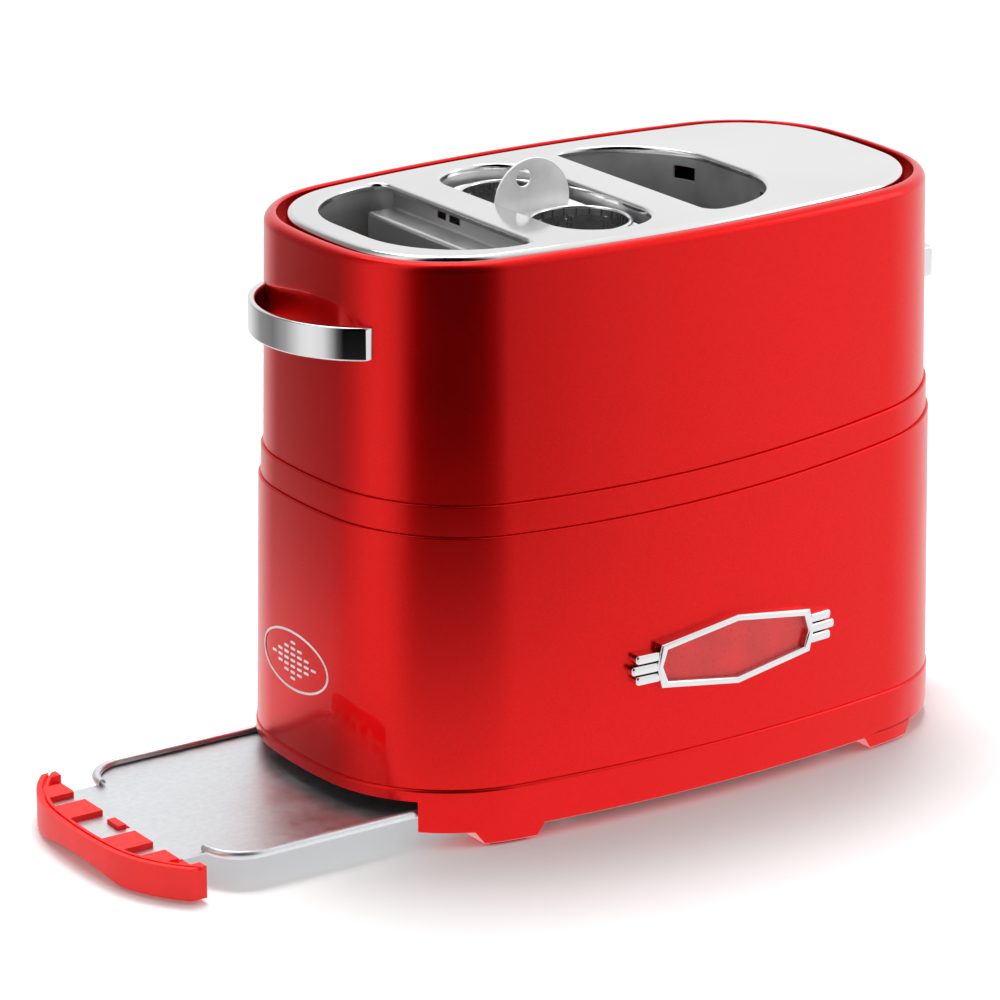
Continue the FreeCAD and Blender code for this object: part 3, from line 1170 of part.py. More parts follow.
def skin(name, inner, outer):
    """A layer over the lower shell, between two distances from its face."""
    reach = ("base_top", "rim_level - rim_depth")
    outside = oval(name + "_outside", LOWER_GROW + " + " + outer, reach)
    inside = oval(name + "_inside", LOWER_GROW + " + " + inner, reach)
    return minus(name, outside, [inside])


def badge_outline(name, inset):
    points = []
    for x, z in ((-1, 0), (-2, -1), (0, -2), (2, -1), (1, 0), (2, 1), (0, 2), (-2, 1)):
        if abs(x) == 1:
            across, up = "badge_half - (%s)" % inset, "0"
        elif x == 0:
            across, up = "0", "badge_mid_half - (%s)" % inset
        else:
            across, up = "badge_shoulder - (%s)" % inset, "badge_end_half - 0.9 * (%s)" % inset
        sign_x = (x > 0) - (x < 0)
        sign_z = (z > 0) - (z < 0)
        points.append(("badge_x + %d * (%s)" % (sign_x, across), "badge_level + %d * (%s)" % (sign_z, up)))
    return outline_pad(name, points, "XZ_Plane", ("0", "2 * body_half_width"))


def make_badge():
    layer = skin("badge_layer", "0", "badge_thick")
    frame = minus("badge_ring", badge_outline("badge_outer", "0"), [badge_outline("badge_inner", "badge_border")])
    bars = []
    for i in (-1, 0, 1):
        short = "badge_bar_tall / 2" if i else "0"
        middle = "badge_level + %d * badge_bar_pitch" % i
        tall = (middle + " - badge_bar_tall / 2", middle + " + badge_bar_tall / 2")
        long = "badge_half + badge_bar_long - " + short
        for sign, side in ((-1, "left"), (1, "right")):
            near, far = "badge_x + %d * badge_shoulder" % sign, "badge_x + %d * (%s)" % (sign, long)
            x = (near, far) if sign > 0 else (far, near)
            bars.append(block("badge_bar_%s_%d" % (side, i + 1), x, ACROSS_FRONT, tall))
    thin = skin("badge_bar_layer", "0", "badge_thick - badge_border / 4")
    whole = overlap("badge_frame_layer", [layer, frame])
    strips = overlap("badge_bars", [thin, minus("badge_bars_outside", join("badge_bar_blocks", bars),
                                                [badge_outline("badge_middle", "badge_border / 2")])])
    node("badge_frame", join("badge_frame_whole", [whole, strips]))
    panel = overlap("badge_panel_cut", [skin("panel_layer", "0", "badge_panel_thick"),
                                        badge_outline("panel_outline", "badge_border + insert_gap")])
    node("badge_panel", panel)


ACROSS_FRONT = ("0 - 2 * body_half_width", "0")


def make_gland():
    start = "gland_front - gland_deep"
    body = rod("gland_body", "gland_radius", "gland_at", start, "gland_level", "gland_deep", "Y")
    collar = rod("gland_collar_ring", "gland_collar", "gland_at", "gland_front - gland_collar_thick", "gland_level",
                 "gland_collar_thick", "Y")
    bore = rod("gland_bore_hole", "gland_bore", "gland_at", start, "gland_level", "gland_deep", "Y")
    node("cord_gland", minus("cord_gland_cut", join("gland_whole", [body, collar]), [bore]))


# Crumb tray


def make_tray():
    front = "0 - pan_front - tray_out"
    under = "tray_level - tray_sheet"
    half = ("0 - tray_half + hem_radius", "tray_half - hem_radius")
    raw = block("pan_raw", (front, front + " + pan_long"), half, (under, "tray_level"))
    edge_x = size("datum_x") + value(front)
    pan = rounded("pan_rounded", raw, size("tray_corner"),
                  lambda e: upright(e) and abs(e.BoundBox.XMin - edge_x) < 1)
    shift = "0 - tray_out"
    flange_block = block("pan_flange", (shift + " - 2 * body_half_length", front + " + wall"),
                         ("0 - flange_half", "flange_half"), (under, "tray_level"))
    flange_curve = oval("pan_flange_curve", SKIRT_GROW + " - grip_wall - insert_gap", (under, "tray_level"),
                        False, shift)
    flange = overlap("pan_flange_curved", [flange_block, flange_curve])
    clip_hole = block("pan_clip_hole", (front + " - clip_back", front + " - clip_front"),
                      ("clip_y - clip_half", "clip_y + clip_half"), ("0", "base_top"))
    hem_level = "tray_level + hem_radius - tray_sheet"
    hems = []
    for side, sign in (("front", "-1"), ("back", "1")):
        y = "%s * (tray_half - hem_radius)" % sign
        hems.append(rod("hem_" + side, "hem_radius", front + " + tray_corner", y, hem_level,
                        "pan_long - tray_corner", "X"))
        hems.append(corner_hem(side, int(sign), front, hem_level))
    back_wall = block("pan_back", (front + " + pan_long - tray_sheet", front + " + pan_long"), half,
                      (under, "tray_level + 2 * hem_radius"))
    sheet_metal = minus("pan_sheet", join("pan_sheet_whole", [pan, flange, back_wall]), [clip_hole])
    node("tray_pan", join("tray_pan_whole", [sheet_metal] + hems), "tray")

    bottom, top = "grip_low", "grip_high"
    outer = oval("grip_outer", SKIRT_GROW, (bottom, top), False, shift)
    inner = oval("grip_inner", SKIRT_GROW + " - grip_wall", (bottom, top), False, shift)
    near = "mouth_side - tray_gap"
    zone = block("grip_zone", (shift + " - 2 * body_half_length", shift + " - pan_front + grip_wall"),
                 ("0 - (%s)" % near, near), (bottom, top))
    arc = overlap("grip_arc", [minus("grip_ring", outer, [inner]), zone])
    ears = [side_block("grip_ear_%d" % sign, sign, (front + " - ear_reach - ear_long", front + " - ear_reach"),
                       (near + " - grip_wall", near), (bottom, top)) for sign in (-1, 1)]
    ears = overlap("grip_ears", [outer, join("grip_ear_blocks", ears)])
    cut = ("grip_high - groove_deep", "grip_high + wall")
    groove_outer = oval("groove_outer", SKIRT_GROW + " - groove_in", cut, False, shift)
    groove_inner = oval("groove_inner", SKIRT_GROW + " - groove_in - groove_wide", cut, False, shift)
    groove = minus("grip_groove", groove_outer, [groove_inner])
    shelf_outer = oval("shelf_outer", SKIRT_GROW + " - grip_wall / 2", (under + " - shelf_thick", under), False,
                       shift)
    shelf_zone = block("shelf_zone", (shift + " - 2 * body_half_length", front + " - shelf_reach"),
                       ("0 - grip_shelf_half", "grip_shelf_half"), (under + " - shelf_thick", under))
    shelf = overlap("grip_shelf_flat", [shelf_outer, shelf_zone])
    pads_zone = []
    for i, (low, high) in enumerate((("0 - pad_d", "0 - pad_c"), ("0 - pad_b", "0 - pad_a"),
                                     ("pad_a", "pad_b"), ("pad_c", "pad_d"))):
        pads_zone.append(block("pad_zone_%d" % i, (shift + " - 2 * body_half_length", front + " - pad_reach"),
                               (low, high), ("tray_level", "tray_level + pad_thick")))
    pads_outer = oval("pads_outer", SKIRT_GROW + " - grip_wall / 2", ("tray_level", "tray_level + pad_thick"),
                      False, shift)
    pads = overlap("grip_pads", [pads_outer, join("pad_zones", pads_zone)])
    clip = block("grip_clip", (front + " - clip_back + insert_gap", front + " - clip_front - wall"),
                 ("clip_y - clip_half + insert_gap", "clip_y + clip_half - insert_gap"),
                 (under, "tray_level + wall"))
    body = join("grip_body", [arc, ears, shelf, pads, clip])
    recess = rod("grip_recess_rod", "recess_radius", shift + " - 2 * body_half_length", "0",
                 "grip_low + grip_recess - recess_radius", "body_half_length", "X")
    node("tray_handle", minus("tray_handle_cut", body, [recess, groove]), "tray")


def corner_hem(side, sign, front, hem_level):
    """A quarter of a ring that carries the hem round one front corner."""
    obj = doc.addObject("Part::Torus", "hem_corner_" + side)
    obj.setExpression("Radius1", ex("tray_corner"))
    obj.setExpression("Radius2", ex("hem_radius"))
    obj.Angle3 = 90
    turn = 90 if sign > 0 else 180
    obj.Placement = FreeCAD.Placement(FreeCAD.Vector(), FreeCAD.Rotation(FreeCAD.Vector(0, 0, 1), turn))
    y = "%d * (tray_half - hem_radius - tray_corner)" % sign
    return place(obj, front + " + tray_corner", y, hem_level)


def make_all():
    make_upper_shell()
    make_belt()
    make_lower_shell()
    make_base()
    make_floor()
    make_rails()
    make_bezel()
    make_top_plate()
    make_bun_well("left", -1)
    make_bun_well("right", 1)
    make_centre_liner()
    make_heaters()
    make_chassis()
    make_carriage()
    make_magnet()
    make_controls()
    make_cage()
    make_handle()
    make_badge()
    make_gland()
    make_tray()


make_all()
doc.recompute()


def whole_box():
    box = FreeCAD.BoundBox()
    for obj, body in nodes.values():
        box.add(obj.Shape.BoundBox)
    return box


# The origin is the middle of the part's own box, on the floor.
first_box = whole_box()
sheet.set("B1", "%.4f" % -first_box.Center.x)
sheet.set("B2", "%.4f" % -first_box.Center.y)
doc.recompute()

failed = [obj.Name for obj in doc.Objects if "Invalid" in obj.State or "Error" in obj.State]
if failed:
    raise RuntimeError("failed to compute: " + ", ".join(failed))
for name, (obj, body) in nodes.items():
    if obj.Shape.isNull() or not obj.Shape.isValid() or not obj.Shape.Solids:
        failed.append(name)
if failed:
    raise RuntimeError("not valid solids: " + ", ".join(failed))

os.makedirs("parts", exist_ok=True)
for name, (obj, body) in nodes.items():
    obj.Shape.exportStep("parts/%s.step" % name)

final_box = whole_box()
print("sub-parts", len(nodes))
print("box", [round(v, 3) for v in (final_box.XMin, final_box.XMax, final_box.YMin, final_box.YMax,
                                    final_box.ZMin, final_box.ZMax)])
print("casing centre at", round(size("datum_x"), 3), round(size("datum_y"), 3))
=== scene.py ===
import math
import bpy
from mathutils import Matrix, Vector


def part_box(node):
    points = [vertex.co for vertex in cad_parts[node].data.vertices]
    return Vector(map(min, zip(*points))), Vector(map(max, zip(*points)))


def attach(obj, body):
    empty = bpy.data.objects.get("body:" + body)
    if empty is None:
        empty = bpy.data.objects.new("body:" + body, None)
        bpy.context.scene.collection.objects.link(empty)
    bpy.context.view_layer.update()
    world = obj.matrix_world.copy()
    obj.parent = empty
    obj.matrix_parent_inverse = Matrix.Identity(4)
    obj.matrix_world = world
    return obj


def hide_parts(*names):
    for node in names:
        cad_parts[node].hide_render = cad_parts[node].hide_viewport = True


bl_info = {
    "name": "Hot Dog Toaster",
    "version": (1, 0, 0),
    "blender": (4, 5, 0),
    "location": "View3D > Sidebar > Toaster",
    "description": "Builds the visible pieces of an oval hot dog toaster and a pale studio round it",
    "category": "Object",
}

import bmesh
import bpy
from bpy.props import FloatProperty, FloatVectorProperty, PointerProperty
from mathutils import Euler, Vector

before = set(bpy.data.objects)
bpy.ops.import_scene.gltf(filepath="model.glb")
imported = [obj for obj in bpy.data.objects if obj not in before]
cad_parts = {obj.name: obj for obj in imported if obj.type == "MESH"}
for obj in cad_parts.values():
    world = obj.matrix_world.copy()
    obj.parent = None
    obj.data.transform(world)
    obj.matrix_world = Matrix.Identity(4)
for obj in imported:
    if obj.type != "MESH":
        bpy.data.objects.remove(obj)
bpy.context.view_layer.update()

MM = 0.001
PLATE_LOW, PLATE_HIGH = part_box("top_plate")
SHELL_LOW, SHELL_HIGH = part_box("upper_shell")
# The middle of the casing, from which every other place is counted in millimetres
MIDDLE = Vector(((PLATE_LOW.x + PLATE_HIGH.x) / 2, (PLATE_LOW.y + PLATE_HIGH.y) / 2, 0.0))
RIM = SHELL_HIGH.z / MM
FACE = PLATE_HIGH.z / MM

# The casing's plan outline: half sizes, then the radii of its sides, ends and corners
HALF_LONG, HALF_WIDE = 130.0, 72.5
SIDE_R, END_R, CORNER_R = 590.0, 205.0, 52.0
OUTLINE_Z = 121.6
LEAN = 0.0183
SEAM_LOW, SEAM_X, SEAM_R = 127.8, -45.0, 1560.0
BELT = 11.5
BASE_TOP, SKIRT_LOW = 22.3, 5.6
WALL = 1.6
WELLS_X = -25.0
BADGE_X, BADGE_Z = 7.6, 58.0
MARK_Y, MARK_Z = 4.5, 57.2
# How far the belt, the lower shell and the base stand out past the wall over them
BELT_OUT, LOWER_OUT, SKIRT_OUT = 0.9, 1.8, 0.5
RIM_WIDE, LEDGE_WIDE, LEDGE_TOP, LEDGE_LOW = 4.6, 9.0, 206.6, 205.0
# The openings, from the middle of the wells
BUN_NEAR, BUN_FAR, BUN_HALF = 38.5, 83.5, 50.0
DOG_HALF_WIDE, DOG_HALF_LONG = 20.4, 51.0
BORE_Y = 22.8
# The crumb tray's sheet: ends, half width, corner radius and the faces of its sheet
TRAY_FRONT, TRAY_BACK, TRAY_WIDE, TRAY_ROUND = -196.0, 19.0, 51.8, 15
TRAY_LOW, TRAY_TOP = 10.7, 11.5
TRAY_DRAWN = 94.0
FLANGE_HALF = 38.5


# Settings


class ToasterSizes(bpy.types.PropertyGroup):
    rim_round: FloatProperty(
        name="Rim Round", description="Radius of the casing's rolled rim, in millimetres",
        default=3.6, min=0.5, max=4.4)
    edge_round: FloatProperty(
        name="Seam Round", description="Radius on the edges of the belt and the shells, in millimetres",
        default=0.55, min=0.1, max=0.8)
    lip_round: FloatProperty(
        name="Lip Round", description="Radius on the lips of the plate's openings, in millimetres",
        default=1.5, min=0.3, max=2.0)
    plate_roll: FloatProperty(
        name="Plate Roll", description="Radius on the plate's outer edge, in millimetres",
        default=2.4, min=0.5, max=3.0)


class ToasterFinishes(bpy.types.PropertyGroup):
    candy_red: FloatVectorProperty(
        name="Candy Red", description="Colour of the casing under its clear coat",
        subtype="COLOR", default=(0.84, 0.003, 0.003), min=0.0, max=1.0)
    tray_red: FloatVectorProperty(
        name="Tray Red", description="Colour of the crumb tray's handle",
        subtype="COLOR", default=(0.92, 0.008, 0.006), min=0.0, max=1.0)
    steel: FloatVectorProperty(
        name="Steel", description="Colour of the bright sheet metal",
        subtype="COLOR", default=(0.78, 0.78, 0.79), min=0.0, max=1.0)


class StudioSettings(bpy.types.PropertyGroup):
    key_power: FloatProperty(
        name="Key Light", description="Power of the big soft light, in watts",
        default=24.0, min=0.0, subtype="POWER", unit="POWER")
    floor_white: FloatProperty(
        name="Floor White", description="How white the floor is",
        default=0.92, min=0.0, max=1.0, subtype="FACTOR")


# Places and outlines


def at(x, y, z):
    """A point given in millimetres from the casing's middle."""
    return Vector((MIDDLE.x + x * MM, MIDDLE.y + y * MM, z * MM))


def oval_stations():
    """Centre, radius and angle of each station round the casing's plan outline."""
    side_y, end_x = SIDE_R - HALF_WIDE, END_R - HALF_LONG
    span = math.hypot(side_y, end_x)
    along = (span ** 2 + (SIDE_R - CORNER_R) ** 2 - (END_R - CORNER_R) ** 2) / (2 * span)
    across = math.sqrt((SIDE_R - CORNER_R) ** 2 - along ** 2)
    cx = -end_x / span * along + side_y / span * across
    cy = -side_y + side_y / span * along + end_x / span * across
    lean = math.atan2(cy + side_y, cx)
    turn = math.atan2(cy, cx + end_x)
    half = math.pi
    arcs = [
        (-end_x, 0, END_R, -turn, turn, 10),
        (cx, cy, CORNER_R, turn, lean, 30),
        (0, -side_y, SIDE_R, lean, half - lean, 28),
        (-cx, cy, CORNER_R, half - lean, half - turn, 30),
        (end_x, 0, END_R, half - turn, half + turn, 10),
        (-cx, -cy, CORNER_R, half + turn, half + lean, 30),
        (0, side_y, SIDE_R, half + lean, 2 * half - lean, 28),
        (cx, -cy, CORNER_R, 2 * half - lean, 2 * half - turn, 30),
    ]
    stations = []
    for x, y, radius, start, stop, steps in arcs:
        for i in range(steps):
            stations.append((x, y, radius, start + (stop - start) * i / steps))
    return stations


STATIONS = oval_stations()
# Where a left corner's arc has its centre, and the half angle of the end's arc
CORNER_AT = (-77.39, 14.9)
END_TURN = math.atan2(CORNER_AT[1], END_R - HALF_LONG - CORNER_AT[0])


def oval(grow, height):
    """One ring of the casing's outline; the height is a number or a function of x."""
    ring = []
    for x, y, radius, angle in STATIONS:
        px = x + (radius + grow) * math.cos(angle)
        py = y + (radius + grow) * math.sin(angle)
        z = height(px) if callable(height) else height
        ring.append(at(px, py, z))
    return ring


def left_edge(y, grow):
    """How far left the casing's outline reaches, at a place across it."""
    reach = END_R + grow
    if abs(y) <= reach * math.sin(END_TURN):
        return END_R - HALF_LONG - math.sqrt(reach ** 2 - y ** 2)
    return CORNER_AT[0] - math.sqrt((CORNER_R + grow) ** 2 - (abs(y) - CORNER_AT[1]) ** 2)


def seam(drop, up=0.0):
    """Height of the upswept seam as a function of x."""
    return lambda x: SEAM_LOW - drop + up + SEAM_R - math.sqrt(SEAM_R ** 2 - (x - SEAM_X) ** 2)


def arc(cx, cy, radius, start, stop, steps):
    """Points of an arc, in degrees, both ends included."""
    points = []
    for i in range(steps + 1):
        angle = math.radians(start + (stop - start) * i / steps)
        points.append((cx + radius * math.cos(angle), cy + radius * math.sin(angle)))
    return points


def round_box(x0, x1, y0, y1, radii, steps=8):
    """A rectangle with its own radius at each corner, anticlockwise from the upper right."""
    r = radii if isinstance(radii, (list, tuple)) else (radii,) * 4
    return (arc(x1 - r[0], y1 - r[0], r[0], 0, 90, steps)
            + arc(x0 + r[1], y1 - r[1], r[1], 90, 180, steps)
            + arc(x0 + r[2], y0 + r[2], r[2], 180, 270, steps)
            + arc(x1 - r[3], y0 + r[3], r[3], 270, 360, steps))


def clean(points, near=0.004):
    """The same closed outline without doubled points."""
    kept = []
    for p in points:
        if not kept or math.dist(p, kept[-1]) > near:
            kept.append(p)
    if math.dist(kept[0], kept[-1]) <= near:
        kept.pop()
    return kept


def grown(points, grow):
    """A closed anticlockwise outline moved outwards, mitred at its corners."""
    count = len(points)
    moved = []
    for i in range(count):
        (ax, ay), (bx, by), (cx, cy) = points[i - 1], points[i], points[(i + 1) % count]
        first = Vector((by - ay, ax - bx)).normalized()
        second = Vector((cy - by, bx - cx)).normalized()
        mean = first + second
        mean = mean / max(mean.dot(mean) / 2, 0.35)
        moved.append((bx + grow * mean.x, by + grow * mean.y))
    return moved


# Modelling


def only(obj):
    if bpy.context.object and bpy.context.object.mode != "OBJECT":
        bpy.ops.object.mode_set(mode="OBJECT")
    bpy.ops.object.select_all(action="DESELECT")
    obj.select_set(True)
    bpy.context.view_layer.objects.active = obj


def deselect():
    if bpy.context.object and bpy.context.object.mode != "OBJECT":
        bpy.ops.object.mode_set(mode="OBJECT")
    bpy.ops.object.select_all(action="DESELECT")


def mark_rows(bm, row):
    """Note which ring the selected corners belong to: 1 the first, 2 the last."""
    layer = bm.verts.layers.int.get("row") or bm.verts.layers.int.new("row")
    for vert in bm.verts:
        if vert.select:
            vert[layer] = row


def select_rows(obj, rows):
    """Select the open edges whose corners both belong to one of these rings."""
    bm = bmesh.from_edit_mesh(obj.data)
    layer = bm.verts.layers.int["row"]
    for item in (*bm.verts, *bm.edges, *bm.faces):
        item.select = False
    for edge in bm.edges:
        a, b = edge.verts
        if a[layer] == b[layer] and a[layer] in rows and edge.is_boundary:
            edge.select_set(True)
    bmesh.update_edit_mesh(obj.data)


def loft(name, rings, ends="fill"):
    """A circle extruded ring by ring, each new ring moved to its place.

    ends is fill for flat ends, bridge to join the last ring to the first, or open."""
    deselect()
    bpy.ops.mesh.primitive_circle_add(vertices=len(rings[0]), radius=1.0, fill_type="NOTHING")
    obj = bpy.context.object
    obj.name = name
    obj.data.name = name
    bpy.ops.object.mode_set(mode="EDIT")
    bpy.ops.mesh.select_mode(type="VERT")
    bpy.ops.mesh.select_all(action="SELECT")
    bm = bmesh.from_edit_mesh(obj.data)
    station = bm.verts.layers.int.new("station")
    bm.verts.ensure_lookup_table()
    for i, vert in enumerate(bm.verts):
        vert[station] = i
        vert.co = rings[0][i]
    mark_rows(bm, 1)
    bmesh.update_edit_mesh(obj.data)
    for k, ring in enumerate(rings[1:], start=2):
        bpy.ops.mesh.extrude_edges_move()
        bm = bmesh.from_edit_mesh(obj.data)
        station = bm.verts.layers.int["station"]
        for vert in bm.verts:
            if vert.select:
                vert.co = ring[vert[station]]
        mark_rows(bm, 2 if k == len(rings) else 3)
        bmesh.update_edit_mesh(obj.data)
    if ends == "bridge":
        select_rows(obj, (1, 2))
        bpy.ops.mesh.bridge_edge_loops()
    elif ends == "fill":
        for row in (1, 2):
            select_rows(obj, (row,))
            bpy.ops.mesh.fill(use_beauty=True)
    bpy.ops.mesh.select_all(action="SELECT")
    bpy.ops.mesh.normals_make_consistent(inside=False)
    bpy.ops.object.mode_set(mode="OBJECT")
    return obj


def join(name, objects):
    deselect()
    for obj in objects:
        obj.select_set(True)
    bpy.context.view_layer.objects.active = objects[0]
    bpy.ops.object.join()
    obj = bpy.context.object
    obj.name = name
    obj.data.name = name
    return obj


def slab(name, outline, holes, low, high, place, edge, steps=3):
    """A flat plate with rounded edges and holes; place turns (u, v, height) into a point."""
    turns = [math.pi / 2 * i / steps for i in range(steps + 1)]
    profile = [(edge * (math.sin(t) - 1), low + edge * (1 - math.cos(t))) for t in turns]
    profile += [(edge * (math.cos(t) - 1), high - edge * (1 - math.sin(t))) for t in turns]
    walls = []
    for k, loop in enumerate([outline] + holes):
        loop = clean(loop)
        sign = 1 if k == 0 else -1
        rings = [[place(u, v, w) for u, v in grown(loop, sign * grow)] for grow, w in profile]
        walls.append(loft("%s_wall_%d" % (name, k), rings, "open"))
    obj = join(name, walls) if len(walls) > 1 else walls[0]
    obj.name = name
    only(obj)
    bpy.ops.object.mode_set(mode="EDIT")
    for row in (1, 2):
        select_rows(obj, (row,))
        bpy.ops.mesh.fill(use_beauty=True)
    bpy.ops.mesh.select_all(action="SELECT")
    bpy.ops.mesh.remove_doubles(threshold=1e-6)
    bpy.ops.mesh.normals_make_consistent(inside=False)
    bpy.ops.object.mode_set(mode="OBJECT")
    return obj


def carve(obj, tool, operation="DIFFERENCE"):
    """Cut, join or keep the overlap with another piece, which is used up."""
    only(obj)
    bpy.ops.object.modifier_add(type="BOOLEAN")
    modifier = obj.modifiers[-1]
    modifier.operation = operation
    modifier.solver = "EXACT"
    modifier.object = tool
    bpy.ops.object.modifier_apply(modifier=modifier.name)
    bpy.data.objects.remove(tool, do_unlink=True)
    return obj


def cutter(name, low, high):
    """A box between two corners, for cutting with."""
    deselect()
    middle, span = (low + high) / 2, high - low
    bpy.ops.mesh.primitive_cube_add(size=1.0, location=middle, scale=span)
    obj = bpy.context.object
    obj.name = name
    bpy.ops.object.transform_apply(location=True, rotation=True, scale=True)
    return obj


def drum(name, radius, start, stop, axis, sides=64):
    """A cylinder along X, Y or Z between two points, in metres."""
    deselect()
    turn = {"X": (0, math.pi / 2, 0), "Y": (math.pi / 2, 0, 0), "Z": (0, 0, 0)}[axis]
    bpy.ops.mesh.primitive_cylinder_add(
        vertices=sides, radius=radius * MM, depth=(stop - start).length,
        location=(start + stop) / 2, rotation=turn)
    obj = bpy.context.object
    obj.name = name
    bpy.ops.object.transform_apply(location=True, rotation=True, scale=True)
    return obj


def softened(obj, width, segments=2, angle=35.0):
    """Round the sharp edges by a bevel, width in millimetres."""
    only(obj)
    bpy.ops.object.modifier_add(type="BEVEL")
    modifier = obj.modifiers[-1]
    modifier.width = width * MM
    modifier.segments = segments
    modifier.limit_method = "ANGLE"
    modifier.angle_limit = math.radians(angle)
    modifier.use_clamp_overlap = True
    bpy.ops.object.modifier_apply(modifier=modifier.name)
    return obj


def smooth(obj, angle=34.0, weighted=True):
    only(obj)
    bpy.ops.object.shade_smooth_by_angle(angle=math.radians(angle))
    if weighted:
        bpy.ops.object.modifier_add(type="WEIGHTED_NORMAL")
        modifier = obj.modifiers[-1]
        modifier.keep_sharp = True
        modifier.weight = 80
        bpy.ops.object.modifier_apply(modifier=modifier.name)
    return obj


def finish_piece(obj, body, finish, nodes=()):
    """Give a piece its finish and its body, and hide the solids it stands for."""
    for name in ("station", "row"):
        if name in obj.data.attributes:
            obj.data.attributes.remove(obj.data.attributes[name])
    obj.data.materials.clear()
    obj.data.materials.append(finish)
    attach(obj, body)
    if nodes:
        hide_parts(*nodes)
    return obj


def dressed(node, name, body, finish, bevel=0.25, segments=2, angle=35.0):
    """A merged copy of a solid with its sharp edges broken."""
    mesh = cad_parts[node].data.copy()
    obj = bpy.data.objects.new(name, mesh)
    mesh.name = name
    bpy.context.scene.collection.objects.link(obj)
    only(obj)
    bpy.ops.object.mode_set(mode="EDIT")
    bpy.ops.mesh.select_all(action="SELECT")
    bpy.ops.mesh.remove_doubles(threshold=1e-6)
    bpy.ops.mesh.dissolve_limited(angle_limit=math.radians(0.02))
    bpy.ops.mesh.normals_make_consistent(inside=False)
    bpy.ops.object.mode_set(mode="OBJECT")
    if bevel:
        softened(obj, bevel, segments, angle)
    smooth(obj)
    return finish_piece(obj, body, finish, (node,))


def paint(finish, *nodes):
    """Give solids that stay as they are a finish."""
    for name in nodes:
        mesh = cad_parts[name].data
        mesh.materials.clear()
        mesh.materials.append(finish)


# Finishes


def ramp_stops(node, stops):
    """Give a colour ramp its stops, each a place and a grey or a colour."""
    elements = node.color_ramp.elements
    while len(elements) > 1:
        elements.remove(elements[-1])
    for k, (where, colour) in enumerate(stops):
        element = elements[0] if k == 0 else elements.new(where)
        element.position = where
        rgb = colour if isinstance(colour, (tuple, list)) else (colour,) * 3
        element.color = (*rgb[:3], 1.0)


class Mix:
    """Builds one material's nodes from left to right."""

    def __init__(self, name):
        self.material = bpy.data.materials.get(name) or bpy.data.materials.new(name)
        self.material.use_nodes = True
        self.nodes = self.material.node_tree.nodes
        self.links = self.material.node_tree.links
        self.nodes.clear()
        self.shader = self.nodes.new("ShaderNodeBsdfPrincipled")
        out = self.nodes.new("ShaderNodeOutputMaterial")
        self.links.new(self.shader.outputs[0], out.inputs["Surface"])
        self.place = self.nodes.new("ShaderNodeTexCoord").outputs["Object"]

    def set(self, **values):
        for name, value in values.items():
            self.shader.inputs[name.replace("_", " ").title().replace("Ior", "IOR")].default_value = value
        return self

    def noise(self, scale, detail=3.0, roughness=0.5, stretch=(1, 1, 1)):
        vector = self.place
        if stretch != (1, 1, 1):
            mapping = self.nodes.new("ShaderNodeMapping")
            mapping.inputs["Scale"].default_value = stretch
            self.links.new(vector, mapping.inputs["Vector"])
            vector = mapping.outputs["Vector"]
        node = self.nodes.new("ShaderNodeTexNoise")
        node.inputs["Scale"].default_value = scale
        node.inputs["Detail"].default_value = detail
        node.inputs["Roughness"].default_value = roughness
        self.links.new(vector, node.inputs["Vector"])
        return node.outputs["Fac"]

    def ramp(self, source, stops):
        node = self.nodes.new("ShaderNodeValToRGB")
        ramp_stops(node, stops)
        self.links.new(source, node.inputs["Fac"])
        return node.outputs["Color"]

    def into(self, source, socket):
        self.links.new(source, self.shader.inputs[socket])
        return self

    def bump(self, source, strength, distance, socket="Normal"):
        node = self.nodes.new("ShaderNodeBump")
        node.inputs["Strength"].default_value = strength
        node.inputs["Distance"].default_value = distance
        self.links.new(source, node.inputs["Height"])
        self.links.new(node.outputs["Normal"], self.shader.inputs[socket])
        return self


def shade(colour, factor):
    return tuple(min(1.0, c * factor) for c in colour[:3])


def candy_paint():
    """Metallic red under a deep clear coat, with a fine flake."""
    red = tuple(bpy.context.scene.toaster_finishes.candy_red)
    mix = Mix("Candy red paint")
    mix.set(metallic=0.94, roughness=0.3, coat_weight=0.4, coat_roughness=0.04, coat_ior=1.4)
    flake = mix.noise(5200.0, 1.0, 0.6)
    mix.into(mix.ramp(flake, [(0.30, shade(red, 0.72)), (0.5, red), (0.72, shade(red, 1.5))]), "Base Color")
    cloud = mix.noise(38.0, 3.0)
    mix.into(mix.ramp(cloud, [(0.3, 0.28), (0.7, 0.32)]), "Roughness")
    mix.bump(flake, 0.06, 0.00004)
    return mix.material


def moulded_red():
    red = tuple(bpy.context.scene.toaster_finishes.tray_red)
    mix = Mix("Moulded red plastic")
    mix.set(roughness=0.4, specular_ior_level=0.3, coat_weight=0.06, coat_roughness=0.22)
    tone = mix.noise(60.0, 3.0)
    mix.into(mix.ramp(tone, [(0.3, shade(red, 0.94)), (0.7, shade(red, 1.05))]), "Base Color")
    mix.bump(mix.noise(1800.0, 2.0), 0.12, 0.00005)
    return mix.material


def bright_chrome():
    mix = Mix("Bright chrome")
    mix.set(metallic=1.0, roughness=0.05)
    tone = mix.noise(25.0, 2.0)
    mix.into(mix.ramp(tone, [(0.3, (0.80, 0.80, 0.81)), (0.7, (0.86, 0.86, 0.87))]), "Base Color")
    mix.into(mix.ramp(mix.noise(160.0, 4.0), [(0.35, 0.03), (0.75, 0.085)]), "Roughness")
    return mix.material


